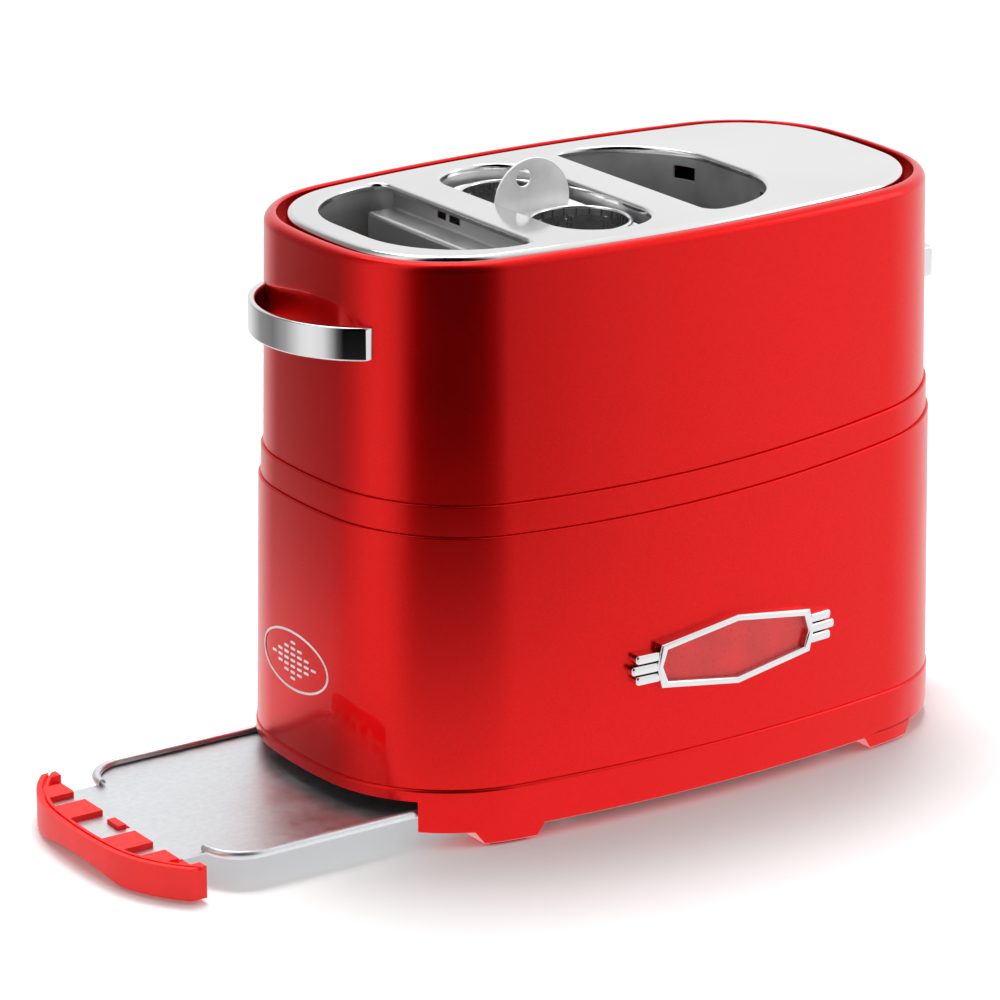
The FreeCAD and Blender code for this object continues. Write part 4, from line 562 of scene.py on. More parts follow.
def plate_chrome():
    """Polished sheet with a faint soft grain along its length."""
    mix = Mix("Polished plate")
    mix.set(metallic=1.0, roughness=0.12)
    tone = mix.noise(12.0, 2.0)
    mix.into(mix.ramp(tone, [(0.3, (0.80, 0.80, 0.80)), (0.7, (0.87, 0.87, 0.87))]), "Base Color")
    grain = mix.noise(900.0, 3.0, 0.6, (0.06, 1, 1))
    mix.into(mix.ramp(grain, [(0.3, 0.085), (0.7, 0.15)]), "Roughness")
    mix.bump(grain, 0.03, 0.00002)
    return mix.material


def satin_steel(name, tint, along, rough):
    steel = tuple(bpy.context.scene.toaster_finishes.steel)
    mix = Mix(name)
    mix.set(metallic=1.0, roughness=0.3)
    tone = mix.noise(30.0, 3.0)
    mix.into(mix.ramp(tone, [(0.3, shade(steel, 0.86 * tint)), (0.7, shade(steel, tint))]), "Base Color")
    grain = mix.noise(1400.0, 3.0, 0.6, along)
    mix.into(mix.ramp(grain, [(0.3, rough[0]), (0.7, rough[1])]), "Roughness")
    mix.bump(grain, 0.08, 0.00003)
    return mix.material


def tray_sheet():
    """Plain rolled sheet, softly mottled and lightly scuffed."""
    mix = Mix("Tray sheet")
    mix.set(metallic=1.0, roughness=0.4)
    spangle = mix.noise(420.0, 4.0, 0.7)
    greys = [(0.25, (0.72, 0.74, 0.76)), (0.55, (0.80, 0.82, 0.84)), (0.8, (0.86, 0.87, 0.89))]
    mix.into(mix.ramp(spangle, greys), "Base Color")
    mix.into(mix.ramp(mix.noise(80.0, 4.0, 0.7), [(0.3, 0.33), (0.7, 0.46)]), "Roughness")
    mix.bump(spangle, 0.12, 0.00003)
    return mix.material


def plain(name, colour, rough=0.5, metallic=0.0, grain=900.0, depth=0.12, coat=0.0):
    """A simple moulded or cast finish with its own fine grain."""
    mix = Mix(name)
    mix.set(roughness=rough, metallic=metallic, coat_weight=coat, coat_roughness=0.08)
    tone = mix.noise(70.0, 3.0)
    mix.into(mix.ramp(tone, [(0.3, shade(colour, 0.85)), (0.7, shade(colour, 1.12))]), "Base Color")
    fine = mix.noise(grain, 3.0)
    mix.into(mix.ramp(fine, [(0.3, rough * 0.85), (0.7, min(1.0, rough * 1.15))]), "Roughness")
    mix.bump(fine, depth, 0.00004)
    return mix.material


def finishes():
    """Every finish by name, made once."""
    made = finishes.made
    if not made:
        made["red"] = candy_paint()
        made["tray_red"] = moulded_red()
        made["chrome"] = bright_chrome()
        made["plate"] = plate_chrome()
        made["liner"] = plain("Liner steel", (0.66, 0.66, 0.67), 0.36, 0.72, 500.0, 0.03)
        made["guide"] = satin_steel("Guide steel", 0.92, (1, 0.3, 1), (0.3, 0.4))
        made["cage"] = plain("Cage steel", (0.92, 0.92, 0.93), 0.34, 0.2, 700.0, 0.03)
        made["wire"] = plain("Basket wire", (0.5, 0.5, 0.51), 0.25, 0.95, 700.0, 0.03)
        made["works"] = satin_steel("Plated sheet", 0.6, (1, 1, 0.1), (0.35, 0.5))
        made["tray"] = tray_sheet()
        made["mica"] = plain("Mica board", (0.45, 0.38, 0.27), 0.6, 0.0, 500.0)
        made["ribbon"] = plain("Heating ribbon", (0.25, 0.2, 0.17), 0.4, 0.8)
        made["ceramic"] = plain("Ceramic", (0.75, 0.72, 0.66), 0.55)
        made["black"] = plain("Black plastic", (0.018, 0.018, 0.02), 0.42)
        made["knob"] = plain("Black knob", (0.012, 0.012, 0.014), 0.22, 0.0, 1200.0, 0.05, 0.4)
        made["board"] = plain("Circuit board", (0.02, 0.12, 0.04), 0.45)
        made["rubber"] = plain("Black rubber", (0.02, 0.02, 0.02), 0.75, 0.0, 700.0, 0.25)
        made["panel"] = plain("Badge enamel", (0.8, 0.008, 0.008), 0.3, 0.0, 900.0, 0.03, 0.4)
        made["mark"] = plain("White print", (0.86, 0.86, 0.86), 0.35, 0.0, 900.0, 0.03)
    return made


finishes.made = {}


# Pieces


def lean_out(z):
    return LEAN * (OUTLINE_Z - z)


def corner_steps(steps=4):
    return [math.pi / 2 * i / steps for i in range(steps + 1)]


class TOASTER_OT_casing(bpy.types.Operator):
    """Build the upper shell, the belt and the lower shell"""

    bl_idname = "toaster.casing"
    bl_label = "Casing"

    def execute(self, context):
        sizes = context.scene.toaster_sizes
        e = sizes.edge_round
        window = (at(90, -9, 109.2), at(150, 9, 179.4))

        top, roll = RIM, sizes.rim_round
        upper = [
            oval(lean_out(134) - WALL, seam(0)),
            oval(lean_out(134) - e, seam(0)),
        ]
        upper += [oval(lean_out(134) - e + e * math.sin(t), seam(0, e - e * math.cos(t)))
                  for t in corner_steps(3)[1:]]
        lip = lean_out(top - roll)
        upper += [oval(lip - roll + roll * math.cos(t), top - roll + roll * math.sin(t))
                  for t in corner_steps(9)]
        inner = lean_out(top) - RIM_WIDE
        upper += [oval(inner + 0.7 - 0.7 * math.sin(t), top - 0.7 + 0.7 * math.cos(t))
                  for t in corner_steps(3)]
        upper += [oval(inner, LEDGE_TOP), oval(inner - LEDGE_WIDE, LEDGE_TOP),
                  oval(inner - LEDGE_WIDE, LEDGE_LOW), oval(lean_out(205) - WALL, LEDGE_LOW)]
        shell = loft("upper_casing", [list(ring) for ring in upper], "bridge")
        carve(shell, cutter("window", *window))
        smooth(shell)
        finish_piece(shell, "root", finishes()["red"], ("upper_shell",))

        low = BELT
        belt = [oval(lean_out(134) - WALL, seam(0)), oval(BELT_OUT + lean_out(134) - e, seam(0))]
        belt += [oval(BELT_OUT + lean_out(131) - e + e * math.sin(t), seam(0, e * math.cos(t) - e))
                 for t in corner_steps(3)[1:]]
        belt += [oval(BELT_OUT + lean_out(120) - e + e * math.cos(t), seam(low, e - e * math.sin(t)))
                 for t in corner_steps(3)]
        belt += [oval(lean_out(120) - WALL, seam(low))]
        band = loft("belt", belt, "bridge")
        carve(band, cutter("window", *window))
        smooth(band)
        finish_piece(band, "root", finishes()["red"], ("belt_band",))

        lower = [oval(LOWER_OUT + lean_out(22) - WALL, BASE_TOP),
                 oval(LOWER_OUT + lean_out(22) - 0.2, BASE_TOP),
                 oval(LOWER_OUT + lean_out(22), BASE_TOP + 0.3)]
        lower += [oval(LOWER_OUT + lean_out(120) - e + e * math.cos(t), seam(low, e * math.sin(t) - e))
                  for t in corner_steps(3)]
        lower += [oval(LOWER_OUT + lean_out(120) - WALL, seam(low))]
        shell = loft("lower_casing", lower, "bridge")
        carve(shell, cutter("window", *window))
        carve(shell, drum("dial_room", 22.2, at(60, 0, 64), at(160, 0, 64), "X", 96))
        carve(shell, drum("button_room", 7.8, at(60, 0, 96), at(160, 0, 96), "X", 64))
        carve(shell, drum("gland_room", 6.7, at(58, 40, 36), at(58, 100, 36), "Y", 48))
        smooth(shell)
        finish_piece(shell, "root", finishes()["red"], ("lower_shell",))
        return {"FINISHED"}


class TOASTER_OT_base(bpy.types.Operator):
    """Build the base skirt with its mouth and feet"""

    bl_idname = "toaster.base"
    bl_label = "Base"

    def execute(self, context):
        out = LOWER_OUT + lean_out(BASE_TOP) + SKIRT_OUT
        floor = SKIRT_LOW
        rings = [oval(out - 7.2, floor + 1.4), oval(out - 7.2, floor)]
        rings += [oval(out - 0.8 + 0.8 * math.sin(t), floor + 0.8 - 0.8 * math.cos(t))
                  for t in corner_steps(3)]
        rings += [oval(out - 1.1 + 1.1 * math.cos(t), BASE_TOP - 1.1 + 1.1 * math.sin(t))
                  for t in corner_steps(4)]
        rings += [oval(out - 8.0, BASE_TOP), oval(out - 8.0, BASE_TOP - 1.5), oval(out - 2.2, BASE_TOP - 1.5),
                  oval(out - 2.2, floor + 1.4)]
        skirt = loft("base", rings, "bridge")
        carve(skirt, cutter("mouth", at(-200, -54.3, -10), at(-97.8, 54.3, 17.6)))
        for side in (-1, 1):
            for wide in (-1, 1):
                skirt = carve(skirt, self.foot(side, wide, out), "UNION")
        softened(skirt, 0.35, 2, 50.0)
        smooth(skirt)
        finish_piece(skirt, "root", finishes()["red"], ("base_skirt",))
        dressed("foot_pads", "foot_pads_rubber", "root", finishes()["rubber"], 0.2)
        dressed("bottom_plate", "bottom_cover", "root", finishes()["black"], 0.0)
        return {"FINISHED"}

    def foot(self, side, wide, out):
        """One slant-sided foot whose face follows the skirt."""
        ring = [oval(out - 11.0, 1.0), oval(out - 0.5, 1.0), oval(out, 1.5), oval(out, 7.0),
                oval(out - 11.0, 7.0)]
        block = loft("foot", ring, "bridge")
        x, y = side * 87.0, wide * 60.0
        corners = [(x - 9, 0.0), (x + 9, 0.0), (x + 13, SKIRT_LOW), (x + 13, 8.0), (x - 13, 8.0),
                   (x - 13, SKIRT_LOW)]
        prism = loft("foot_prism", [[at(u, y - 45, w) for u, w in corners],
                                    [at(u, y + 45, w) for u, w in corners]])
        return carve(block, prism, "INTERSECT")


class TOASTER_OT_top_plate(bpy.types.Operator):
    """Build the polished plate with its three openings"""

    bl_idname = "toaster.top_plate"
    bl_label = "Top Plate"

    def execute(self, context):
        sizes = context.scene.toaster_sizes
        out = lean_out(RIM) - 8.1
        roll, lip = sizes.plate_roll, sizes.lip_round
        rings = [oval(out - 2.4, FACE - 1.0), oval(out - 1.2, FACE - 2.2), oval(out - 1.0, LEDGE_TOP),
                 oval(out, LEDGE_TOP)]
        rings += [oval(out - roll + roll * math.cos(t), FACE - roll + roll * math.sin(t))
                  for t in corner_steps(8)]
        walls = [loft("plate_rim", rings, "open")]
        for k, outline in enumerate((bun_outline(-1), bun_outline(1), dog_outline())):
            hole = [grown(outline, lip * (1 - math.sin(t))) for t in corner_steps(6)]
            heights = [FACE - lip + lip * math.cos(t) for t in corner_steps(6)]
            profile = list(zip(hole, heights))
            profile += [(outline, 214.9), (grown(outline, 0.2), 214.8), (grown(outline, 1.0), 214.8),
                        (grown(outline, 1.0), FACE - 1.0)]
            rings = [[at(u, v, z) for u, v in points] for points, z in reversed(profile)]
            walls.append(loft("plate_lip_%d" % k, rings, "open"))
        plate = join("top_plate_polished", walls)
        only(plate)
        bpy.ops.object.mode_set(mode="EDIT")
        for row in (1, 2):
            select_rows(plate, (row,))
            bpy.ops.mesh.fill(use_beauty=True)
        bpy.ops.mesh.select_all(action="SELECT")
        bpy.ops.mesh.normals_make_consistent(inside=False)
        bpy.ops.object.mode_set(mode="OBJECT")
        smooth(plate)
        finish_piece(plate, "root", finishes()["plate"], ("top_plate",))
        return {"FINISHED"}


def bun_outline(side, grow=0.0):
    near, far = WELLS_X + side * BUN_NEAR, WELLS_X + side * BUN_FAR
    radii = (5.4, 39.4, 39.4, 5.4) if side < 0 else (39.4, 5.4, 5.4, 39.4)
    box = round_box(min(near, far), max(near, far), -BUN_HALF, BUN_HALF, radii, 20)
    return grown(clean(box), grow)


def dog_outline(grow=0.0):
    box = round_box(WELLS_X - DOG_HALF_WIDE, WELLS_X + DOG_HALF_WIDE, -DOG_HALF_LONG, DOG_HALF_LONG, 18.9, 18)
    return grown(clean(box), grow)


class TOASTER_OT_wells(bpy.types.Operator):
    """Build the bun guides and dress the liners"""

    bl_idname = "toaster.wells"
    bl_label = "Wells"

    def execute(self, context):
        for side, word in ((-1, "left"), (1, "right")):
            dressed("bun_liner_" + word, "bun_well_" + word, "root", finishes()["liner"], 0.12)
            self.guide(side, word)
        dressed("centre_liner", "centre_well", "root", finishes()["liner"], 0.12)
        return {"FINISHED"}

    def guide(self, side, word):
        """A bent sheet: strip, rounded ledge and deep wall with heat openings."""
        def spot(out, z):
            return (WELLS_X + side * (BUN_NEAR + out), z)
        ledge = 217.5 - 9.0
        path = [spot(-1.7, 216.5), spot(-1.7, ledge + 1.0)]
        path += [spot(-0.7 - 1.0 * math.cos(t), ledge + 1.0 - 1.0 * math.sin(t)) for t in corner_steps(4)][1:]
        path += [spot(8.0 + 1.6 * math.sin(t), ledge - 1.6 + 1.6 * math.cos(t)) for t in corner_steps(6)]
        path += [spot(9.6, 76.0)]
        thick = 0.8
        normals = []
        for i in range(len(path)):
            a, b = path[max(0, i - 1)], path[min(len(path) - 1, i + 1)]
            run = Vector((b[0] - a[0], b[1] - a[1])).normalized()
            normals.append(Vector((-run.y, run.x)) * side)
        section = list(path) + [(p[0] - n.x * thick, p[1] - n.y * thick)
                                for p, n in reversed(list(zip(path, normals)))]
        rings = [[at(u, y, w) for u, w in section] for y in (-44.6, -44.3, 44.3, 44.6)]
        sheet = loft("bun_guide_%s_sheet" % word, rings)
        for i in range(5):
            middle = 13.5 * (i - 2)
            low = at(WELLS_X + min(side * 46, side * 60), middle - 4.75, 84)
            high = at(WELLS_X + max(side * 46, side * 60), middle + 4.75, 194)
            carve(sheet, cutter("slot", low, high))
        if side < 0:
            for low, high in ((0.6, 7.4), (9.6, 15.2)):
                carve(sheet, cutter("clip", at(WELLS_X - 38, low, 211.4), at(WELLS_X - 34, high, 214.2)))
        smooth(sheet)
        finish_piece(sheet, "root", finishes()["guide"], ("bun_guide_" + word,))


class TOASTER_OT_cage(bpy.types.Operator):
    """Build the lift-out cage: plate, tab, rings and wires"""

    bl_idname = "toaster.cage"
    bl_label = "Cage"

    def execute(self, context):
        top = FACE - 5.9
        plate = slab("cage_top", round_box(WELLS_X - 18.2, WELLS_X + 18.2, -48.5, 48.5, 17.2, 18),
                     [arc(WELLS_X, y, 18.5, 0, 360, 64) for y in (-BORE_Y, BORE_Y)],
                     top - 1.0, top, at, 0.3)
        tab_x, tab_y, tab_r = -28.7, 2.7, 16.4
        centre = top + 20.1 - tab_r
        reach = math.degrees(math.asin((centre - top + 0.3) / tab_r))
        outline = arc(tab_x, centre, tab_r, -reach, 180 + reach, 80)
        hole = arc(tab_x - 3.8, top + 20.1 - 6.9, 3.4, 0, 360, 40)
        tab = slab("cage_tab", outline, [hole], -0.6, 0.6, lambda u, v, w: at(u, tab_y - w, v), 0.25)
        both = join("cage_top", [plate, tab])
        smooth(both)
        finish_piece(both, "cage", finishes()["cage"], ("cage_plate",))
        rings = []
        for y in (-BORE_Y, BORE_Y):
            profile = [(17.5, top - 1.0)]
            profile += [(18.4 - 0.9 * math.cos(t), top + 1.5 + 0.9 * math.sin(t)) for t in corner_steps(5)]
            profile += [(18.5 + 0.9 * math.sin(t), top + 1.5 + 0.9 * math.cos(t)) for t in corner_steps(5)]
            profile += [(19.4, top), (18.5, top), (18.5, top - 1.0)]
            loops = [[at(WELLS_X + r * math.cos(a), y + r * math.sin(a), z) for a in turns(80)]
                     for r, z in profile]
            rings.append(loft("cage_ring", loops, "bridge"))
        both = join("cage_rings_bright", rings)
        smooth(both)
        finish_piece(both, "cage", finishes()["chrome"], ("cage_rings",))
        for word in ("front", "back"):
            dressed("basket_" + word, "cage_wires_" + word, "cage", finishes()["wire"], 0.0)
        return {"FINISHED"}


class TOASTER_OT_carry_handle(bpy.types.Operator):
    """Build the bowed carry handle on the left end"""

    bl_idname = "toaster.carry_handle"
    bl_label = "Carry Handle"

    def execute(self, context):
        reach, shoulder, half, thick, foot = 145.1, 126.0, 36.2, 2.4, 3.2

        def bow(reach, shoulder, half, steps):
            rise = reach - shoulder
            radius = (half ** 2 + rise ** 2) / (2 * rise)
            swing = math.degrees(math.asin(half / radius))
            return arc(-(reach - radius), 0, radius, 180 + swing, 180 - swing, steps)

        outer = bow(reach, shoulder, half, 40)
        inner = bow(reach - thick, shoulder - thick, half - foot, 32)
        wall_x = -118.5
        outline = ([(wall_x, -half), (wall_x, -half + foot)] + list(inner)
                   + [(wall_x, half - foot), (wall_x, half)])
        outline += list(reversed(outer))
        outline = list(reversed(outline))
        area = sum(a[0] * b[1] - b[0] * a[1] for a, b in zip(outline, outline[1:] + outline[:1]))
        if area < 0:
            outline = list(reversed(outline))
        handle = slab("carry_bow", outline, [], 180.0, 192.4, at, 0.9, 4)
        rings = [oval(0.1 + lean_out(z), z) for z in (170.0, 205.0)]
        carve(handle, loft("casing_room", rings))
        smooth(handle)
        finish_piece(handle, "root", finishes()["chrome"], ("carry_handle",))
        return {"FINISHED"}


def on_wall(x, z, out):
    """A point on the badge side of the lower shell, or some way off it."""
    grow = LOWER_OUT + lean_out(z)
    y = math.sqrt((SIDE_R + grow) ** 2 - x ** 2) - (SIDE_R - HALF_WIDE)
    return at(x, -(y + out), z)


class TOASTER_OT_badge(bpy.types.Operator):
    """Build the blank badge with its bars"""

    bl_idname = "toaster.badge"
    bl_label = "Badge"

    def execute(self, context):
        def octagon(inset):
            half, shoulder, mid, end = 36.2 - inset, 34.2 - inset, 13.4 - inset, 8.3 - 0.9 * inset
            points = [(half, 0), (shoulder, end), (0, mid), (-shoulder, end), (-half, 0), (-shoulder, -end),
                      (0, -mid), (shoulder, -end)]
            return [(BADGE_X + x, BADGE_Z + z) for x, z in points]

        frame_piece = slab("badge_surround", octagon(0), [octagon(2.6)], -0.4, 4.0, on_wall, 0.8, 4)
        bars = []
        for i in (-1, 0, 1):
            reach = 46.8 - (1.8 if i else 0.0)
            for side in (-1, 1):
                near, far = BADGE_X + side * 34.5, BADGE_X + side * reach
                z = BADGE_Z + 4.0 * i
                box = round_box(min(near, far), max(near, far), z - 1.75, z + 1.75, 1.2, 5)
                bars.append(slab("badge_bar", box, [], -0.4, 3.35, on_wall, 0.8, 3))
        both = join("badge_surround", [frame_piece] + bars)
        smooth(both)
        finish_piece(both, "root", finishes()["chrome"], ("badge_frame",))
        self.mark()
        panel = slab("badge_field", octagon(2.5), [], -0.3, 1.5, on_wall, 0.3, 3)
        smooth(panel)
        finish_piece(panel, "root", finishes()["panel"], ("badge_panel",))
        return {"FINISHED"}

    def mark(self):
        """A plain printed oval on the tray's end: one ring round a diamond of short dashes."""
        half, tall, thick = 23.0, 11.4, 0.9
        outer = [(MARK_Y + half * math.cos(a), MARK_Z + tall * math.sin(a)) for a in turns(72)]
        inner = [(MARK_Y + (half - thick) * math.cos(a), MARK_Z + (tall - thick) * math.sin(a))
                 for a in turns(72)]
        marks = [slab("end_mark_ring", outer, [inner], -0.1, 0.15, on_end, 0.03, 1)]
        for row in (-3, -2, -1, 0, 1, 2, 3):
            z = MARK_Z + 2.3 * row
            count = 3 - abs(row)
            for k in range(-count, count + 1):
                middle = MARK_Y + 4.6 * k
                dash = round_box(middle - 1.6, middle + 1.6, z - 0.5, z + 0.5, 0.4, 2)
                marks.append(slab("end_mark_dash", dash, [], -0.1, 0.15, on_end, 0.03, 1))
        both = join("end_mark", marks)
        smooth(both)
        finish_piece(both, "root", finishes()["mark"])


def on_end(y, z, out):
    """A point on the tray's end of the lower shell, or some way off it."""
    return at(left_edge(y, LOWER_OUT + lean_out(z) + out), y, z)


def turns(count):
    return [2 * math.pi * i / count for i in range(count)]


class TOASTER_OT_lever(bpy.types.Operator):
    """Build the lever's knob and its slot bezel"""

    bl_idname = "toaster.lever"
    bl_label = "Lever"

    def execute(self, context):
        dressed("lever_knob", "lever_grip", "carriage", finishes()["chrome"], 0.3)
        dressed("slot_bezel", "lever_bezel", "root", finishes()["chrome"], 0.3)
        dressed("lever_arm", "lever_bar", "carriage", finishes()["works"], 0.3)
        return {"FINISHED"}


class TOASTER_OT_controls(bpy.types.Operator):
    """Dress the timer, the cancel button and the cord gland"""

    bl_idname = "toaster.controls"
    bl_label = "Controls"

    def execute(self, context):
        f = finishes()
        dressed("timer_knob", "timer_dial_knob", "timer", f["knob"], 0.3)
        dressed("dial_plate", "timer_dial", "root", f["chrome"], 0.25)
        dressed("cancel_button", "cancel_push", "cancel", f["knob"], 0.25)
        dressed("button_guide", "cancel_collar", "root", f["chrome"], 0.2)
        dressed("cord_gland", "cord_inlet", "root", f["rubber"], 0.5)
        return {"FINISHED"}


class TOASTER_OT_crumb_tray(bpy.types.Operator):
    """Build the crumb tray's sheet, hems and handle"""

    bl_idname = "toaster.crumb_tray"
    bl_label = "Crumb Tray"

    def execute(self, context):
        front, back, wide, turn = TRAY_FRONT, TRAY_BACK, TRAY_WIDE, TRAY_ROUND
        # The front edge has the curve of the casing's end
        flange = [(left_edge(y, -0.283) - TRAY_DRAWN, y)
                  for y in (FLANGE_HALF - 3.5 * k for k in range(23))]
        outline = ([(back, -wide), (back, wide), (front + turn, wide)]
                   + arc(front + turn, wide - turn, turn, 90, 180, 14)[1:-1]
                   + [(front, FLANGE_HALF)] + flange + [(front, -FLANGE_HALF)]
                   + arc(front + turn, -wide + turn, turn, 180, 270, 14)[1:])
        hole = round_box(front - 16.5, front - 11.4, -3.8, 4.6, 0.5, 3)
        pieces = [slab("tray_sheet_pan", outline, [hole], TRAY_LOW, TRAY_TOP, at, 0.2, 2)]
        pieces += [self.hem(side, front, back, wide) for side in (-1, 1)]
        pieces.append(slab("tray_back", [(back - 0.8, -wide), (back, -wide), (back, wide), (back - 0.8, wide)],
                           [], TRAY_LOW, 14.9, at, 0.2, 2))
        tray = join("tray_sheet_pan", pieces)
        smooth(tray)
        finish_piece(tray, "tray", finishes()["tray"], ("tray_pan",))
        dressed("tray_handle", "tray_grip", "tray", finishes()["tray_red"], 0.45, 3)
        return {"FINISHED"}

    def hem(self, side, front, back, wide):
        """An open roll along one long side and round the front corner."""
        radius, turn = 1.7, TRAY_ROUND
        level = TRAY_LOW + radius
        path = [((back, side * wide), (-1, 0)), ((front + 40, side * wide), (-1, 0))]
        for k in range(15):
            t = math.radians(90 * k / 14)
            path.append(((front + turn - turn * math.sin(t), side * (wide - turn + turn * math.cos(t))),
                         (-math.cos(t), -side * math.sin(t))))
        section = [(radius * math.cos(math.radians(a)), radius * math.sin(math.radians(a)))
                   for a in range(-100, 191, 15)]
        section += [((radius - 0.55) * math.cos(math.radians(a)), (radius - 0.55) * math.sin(math.radians(a)))
                    for a in range(190, -101, -15)]
        rings = []
        for (x, y), (dx, dy) in path:
            nx, ny = -dy * side, dx * side
            rings.append([at(x - nx * u, y - ny * u, level + w) for u, w in section])
        return loft("tray_hem", rings)


class TOASTER_OT_inner_works(bpy.types.Operator):
    """Give the carriage, heaters and chassis their finishes"""

    bl_idname = "toaster.inner_works"
    bl_label = "Inner Works"

    def execute(self, context):
        f = finishes()
        paint(f["works"], "chassis_left", "chassis_right", "chassis_floor", "rod_bracket", "tray_rail_front",
              "tray_rail_back", "magnet_bracket", "carriage_frame", "carriage_plate", "keeper", "guide_rods",
              "base_screws", "handle_screws", "timer_shaft", "lift_spring_front", "lift_spring_back")
        paint(f["cage"], "cage_rest", "bun_rack_left", "bun_rack_right")
        paint(f["mica"], "heater_board_left", "heater_board_right")
        paint(f["ribbon"], "heater_ribbons_left", "heater_ribbons_right")
        paint(f["ceramic"], "board_spacers")
        paint(f["black"], "slider_bushes", "electromagnet", "timer_switch", "cancel_switch", "base_posts")
        paint(f["board"], "control_board")
        return {"FINISHED"}


# How bright the studio is round the compass, from -X through -Y, +X and +Y back to -X
SURROUND = (
    (0.0, 0.92), (0.035, 0.8), (0.055, 0.45), (0.075, 0.08), (0.09, 0.0), (0.235, 0.0), (0.265, 0.08),
    (0.30, 0.5), (0.33, 0.85), (0.37, 1.0), (0.46, 1.0), (0.60, 1.0), (0.74, 0.8), (0.81, 0.3), (0.87, 0.2),
    (0.92, 0.4), (0.97, 0.85), (1.0, 0.92),
)


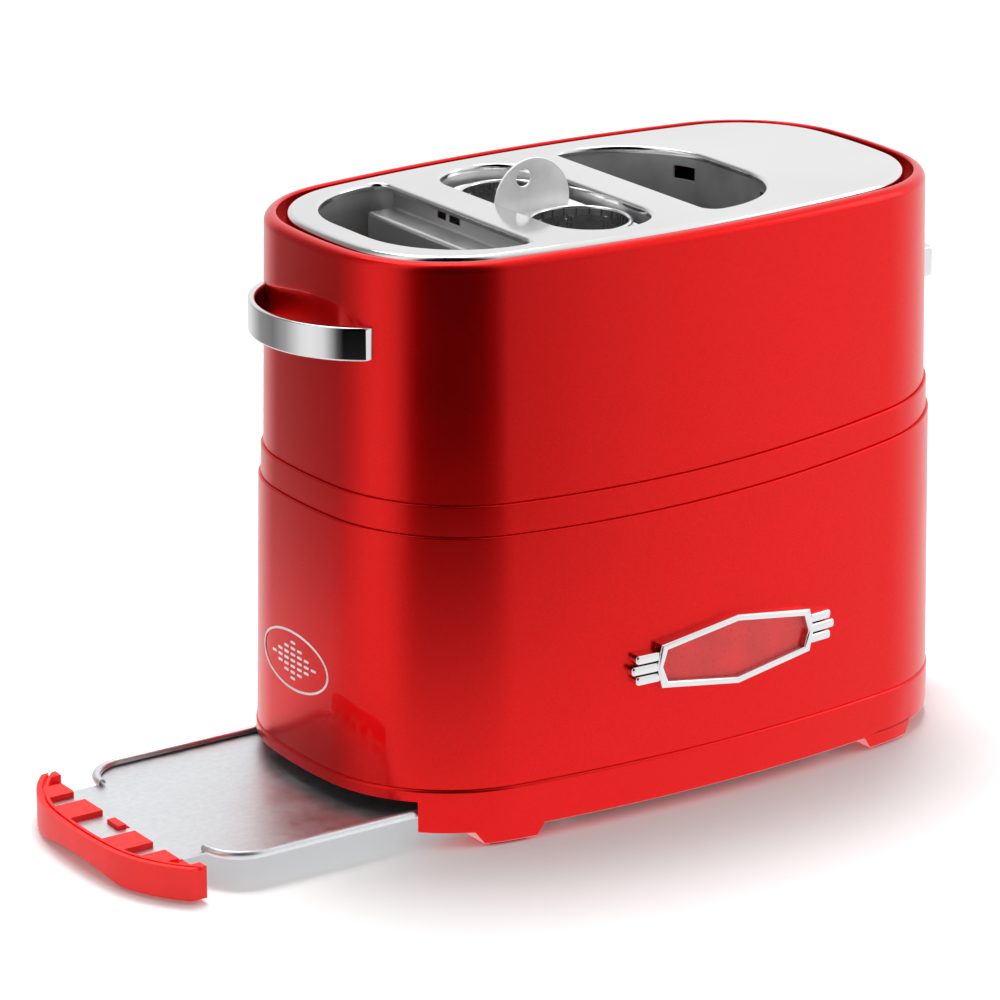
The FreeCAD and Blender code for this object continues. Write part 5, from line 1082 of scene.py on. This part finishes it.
class TOASTER_OT_studio(bpy.types.Operator):
    """Lay the floor and set the lights and the camera"""

    bl_idname = "toaster.studio"
    bl_label = "Studio"

    def execute(self, context):
        settings = context.scene.studio_settings
        deselect()
        bpy.ops.mesh.primitive_plane_add(size=12.0, location=(0, 0, 0))
        floor = bpy.context.object
        floor.name = "studio_floor"
        mix = Mix("Studio floor")
        mix.set(roughness=0.6, specular_ior_level=0.2)
        mix.shader.inputs["Base Color"].default_value = (settings.floor_white,) * 3 + (1.0,)
        floor.data.materials.append(mix.material)

        floor.visible_glossy = False
        self.card()
        self.surround(context.scene)
        context.scene.view_settings.view_transform = "Standard"

        key = self.softbox("key_light", (0.35, 0.6, 2.2), (0.0, 0.0, 0.1), 0.9, 0.9, settings.key_power * 1.6)
        key.visible_glossy = False
        self.softbox("top_light", (0.2, 0.8, 2.6), (0.0, 0.0, 0.2), 2.2, 1.4, settings.key_power)
        self.softbox("side_light", (2.2, -1.2, 1.2), (0.0, 0.0, 0.1), 1.0, 1.6, settings.key_power * 0.4)

        data = bpy.data.cameras.new("Photo camera")
        data.lens = 171.13
        data.sensor_width = 36.0
        data.clip_end = 50.0
        camera = bpy.data.objects.new("photo_camera", data)
        context.scene.collection.objects.link(camera)
        camera.location = at(-985.46, -1383.89, 664.89)
        camera.rotation_euler = Euler((math.pi / 2 - 0.3236, 0.0, -0.5971), "XYZ")
        context.scene.camera = camera
        return {"FINISHED"}

    def card(self):
        """A pale card on the floor that only reflections see, fading out from the middle."""
        deselect()
        bpy.ops.mesh.primitive_plane_add(size=2.0, location=at(0, 0, 0.2))
        card = bpy.context.object
        card.name = "studio_card"
        bpy.ops.object.transform_apply(location=True, rotation=True, scale=True)
        card.visible_camera = card.visible_diffuse = card.visible_shadow = False
        material = bpy.data.materials.new("Studio card")
        material.use_nodes = True
        nodes, links = material.node_tree.nodes, material.node_tree.links
        nodes.clear()
        place = nodes.new("ShaderNodeTexCoord")
        away = nodes.new("ShaderNodeVectorMath")
        away.operation = "LENGTH"
        fade = nodes.new("ShaderNodeValToRGB")
        fade.color_ramp.interpolation = "B_SPLINE"
        ramp_stops(fade, ((0.10, 1.0), (0.24, 0.8), (0.34, 0.42), (0.46, 0.12), (0.62, 0.0)))
        glow = nodes.new("ShaderNodeEmission")
        clear = nodes.new("ShaderNodeBsdfTransparent")
        blend = nodes.new("ShaderNodeMixShader")
        out = nodes.new("ShaderNodeOutputMaterial")
        links.new(place.outputs["Object"], away.inputs[0])
        links.new(away.outputs["Value"], fade.inputs["Fac"])
        links.new(fade.outputs["Color"], blend.inputs["Fac"])
        links.new(clear.outputs[0], blend.inputs[1])
        links.new(glow.outputs[0], blend.inputs[2])
        links.new(blend.outputs[0], out.inputs["Surface"])
        card.data.materials.append(material)

    def surround(self, scene):
        """White all round for soft light, and a studio's bright and dark sides for reflections."""
        world = bpy.data.worlds.new("Studio")
        world.use_nodes = True
        nodes, links = world.node_tree.nodes, world.node_tree.links
        nodes.clear()
        place = nodes.new("ShaderNodeTexCoord")
        split = nodes.new("ShaderNodeSeparateXYZ")
        around = nodes.new("ShaderNodeMath")
        around.operation = "ARCTAN2"
        scaled = nodes.new("ShaderNodeMath")
        scaled.operation = "MULTIPLY_ADD"
        scaled.inputs[1].default_value = 0.5 / math.pi
        scaled.inputs[2].default_value = 0.5
        sides = nodes.new("ShaderNodeValToRGB")
        ramp_stops(sides, SURROUND)
        seen = nodes.new("ShaderNodeBackground")
        soft = nodes.new("ShaderNodeBackground")
        soft.inputs["Strength"].default_value = 0.56
        paths = nodes.new("ShaderNodeLightPath")
        blend = nodes.new("ShaderNodeMixShader")
        out = nodes.new("ShaderNodeOutputWorld")
        soft.inputs["Color"].default_value = (1.0, 1.0, 1.0, 1.0)
        links.new(place.outputs["Generated"], split.inputs[0])
        links.new(split.outputs["Y"], around.inputs[0])
        links.new(split.outputs["X"], around.inputs[1])
        links.new(around.outputs[0], scaled.inputs[0])
        links.new(scaled.outputs[0], sides.inputs["Fac"])
        links.new(sides.outputs["Color"], seen.inputs["Color"])
        links.new(paths.outputs["Is Glossy Ray"], blend.inputs["Fac"])
        links.new(soft.outputs[0], blend.inputs[1])
        links.new(seen.outputs[0], blend.inputs[2])
        links.new(blend.outputs[0], out.inputs["Surface"])
        scene.world = world

    def softbox(self, name, where, target, wide, tall, power):
        data = bpy.data.lights.new(name, "AREA")
        data.shape = "RECTANGLE"
        data.size = wide
        data.size_y = tall
        data.energy = power
        lamp = bpy.data.objects.new(name, data)
        bpy.context.scene.collection.objects.link(lamp)
        lamp.location = where
        aim = Vector(target) - Vector(where)
        lamp.rotation_euler = aim.to_track_quat("-Z", "Y").to_euler()
        return lamp


OPERATORS = (
    TOASTER_OT_casing,
    TOASTER_OT_base,
    TOASTER_OT_top_plate,
    TOASTER_OT_wells,
    TOASTER_OT_cage,
    TOASTER_OT_carry_handle,
    TOASTER_OT_badge,
    TOASTER_OT_lever,
    TOASTER_OT_controls,
    TOASTER_OT_crumb_tray,
    TOASTER_OT_inner_works,
    TOASTER_OT_studio,
)


class TOASTER_PT_panel(bpy.types.Panel):
    bl_idname = "TOASTER_PT_panel"
    bl_label = "Hot Dog Toaster"
    bl_space_type = "VIEW_3D"
    bl_region_type = "UI"
    bl_category = "Toaster"

    def draw(self, context):
        scene = context.scene
        for group in (scene.toaster_sizes, scene.toaster_finishes, scene.studio_settings):
            for name in group.__annotations__:
                self.layout.prop(group, name)
        for operator in OPERATORS:
            self.layout.operator(operator.bl_idname)


CLASSES = (ToasterSizes, ToasterFinishes, StudioSettings) + OPERATORS + (TOASTER_PT_panel,)


def register():
    for cls in CLASSES:
        bpy.utils.register_class(cls)
    bpy.types.Scene.toaster_sizes = PointerProperty(type=ToasterSizes)
    bpy.types.Scene.toaster_finishes = PointerProperty(type=ToasterFinishes)
    bpy.types.Scene.studio_settings = PointerProperty(type=StudioSettings)


def unregister():
    del bpy.types.Scene.studio_settings
    del bpy.types.Scene.toaster_finishes
    del bpy.types.Scene.toaster_sizes
    for cls in reversed(CLASSES):
        bpy.utils.unregister_class(cls)


def main():
    register()
    for operator in OPERATORS:
        group, name = operator.bl_idname.split(".")
        getattr(getattr(bpy.ops, group), name)()


if __name__ == "__main__":
    main()
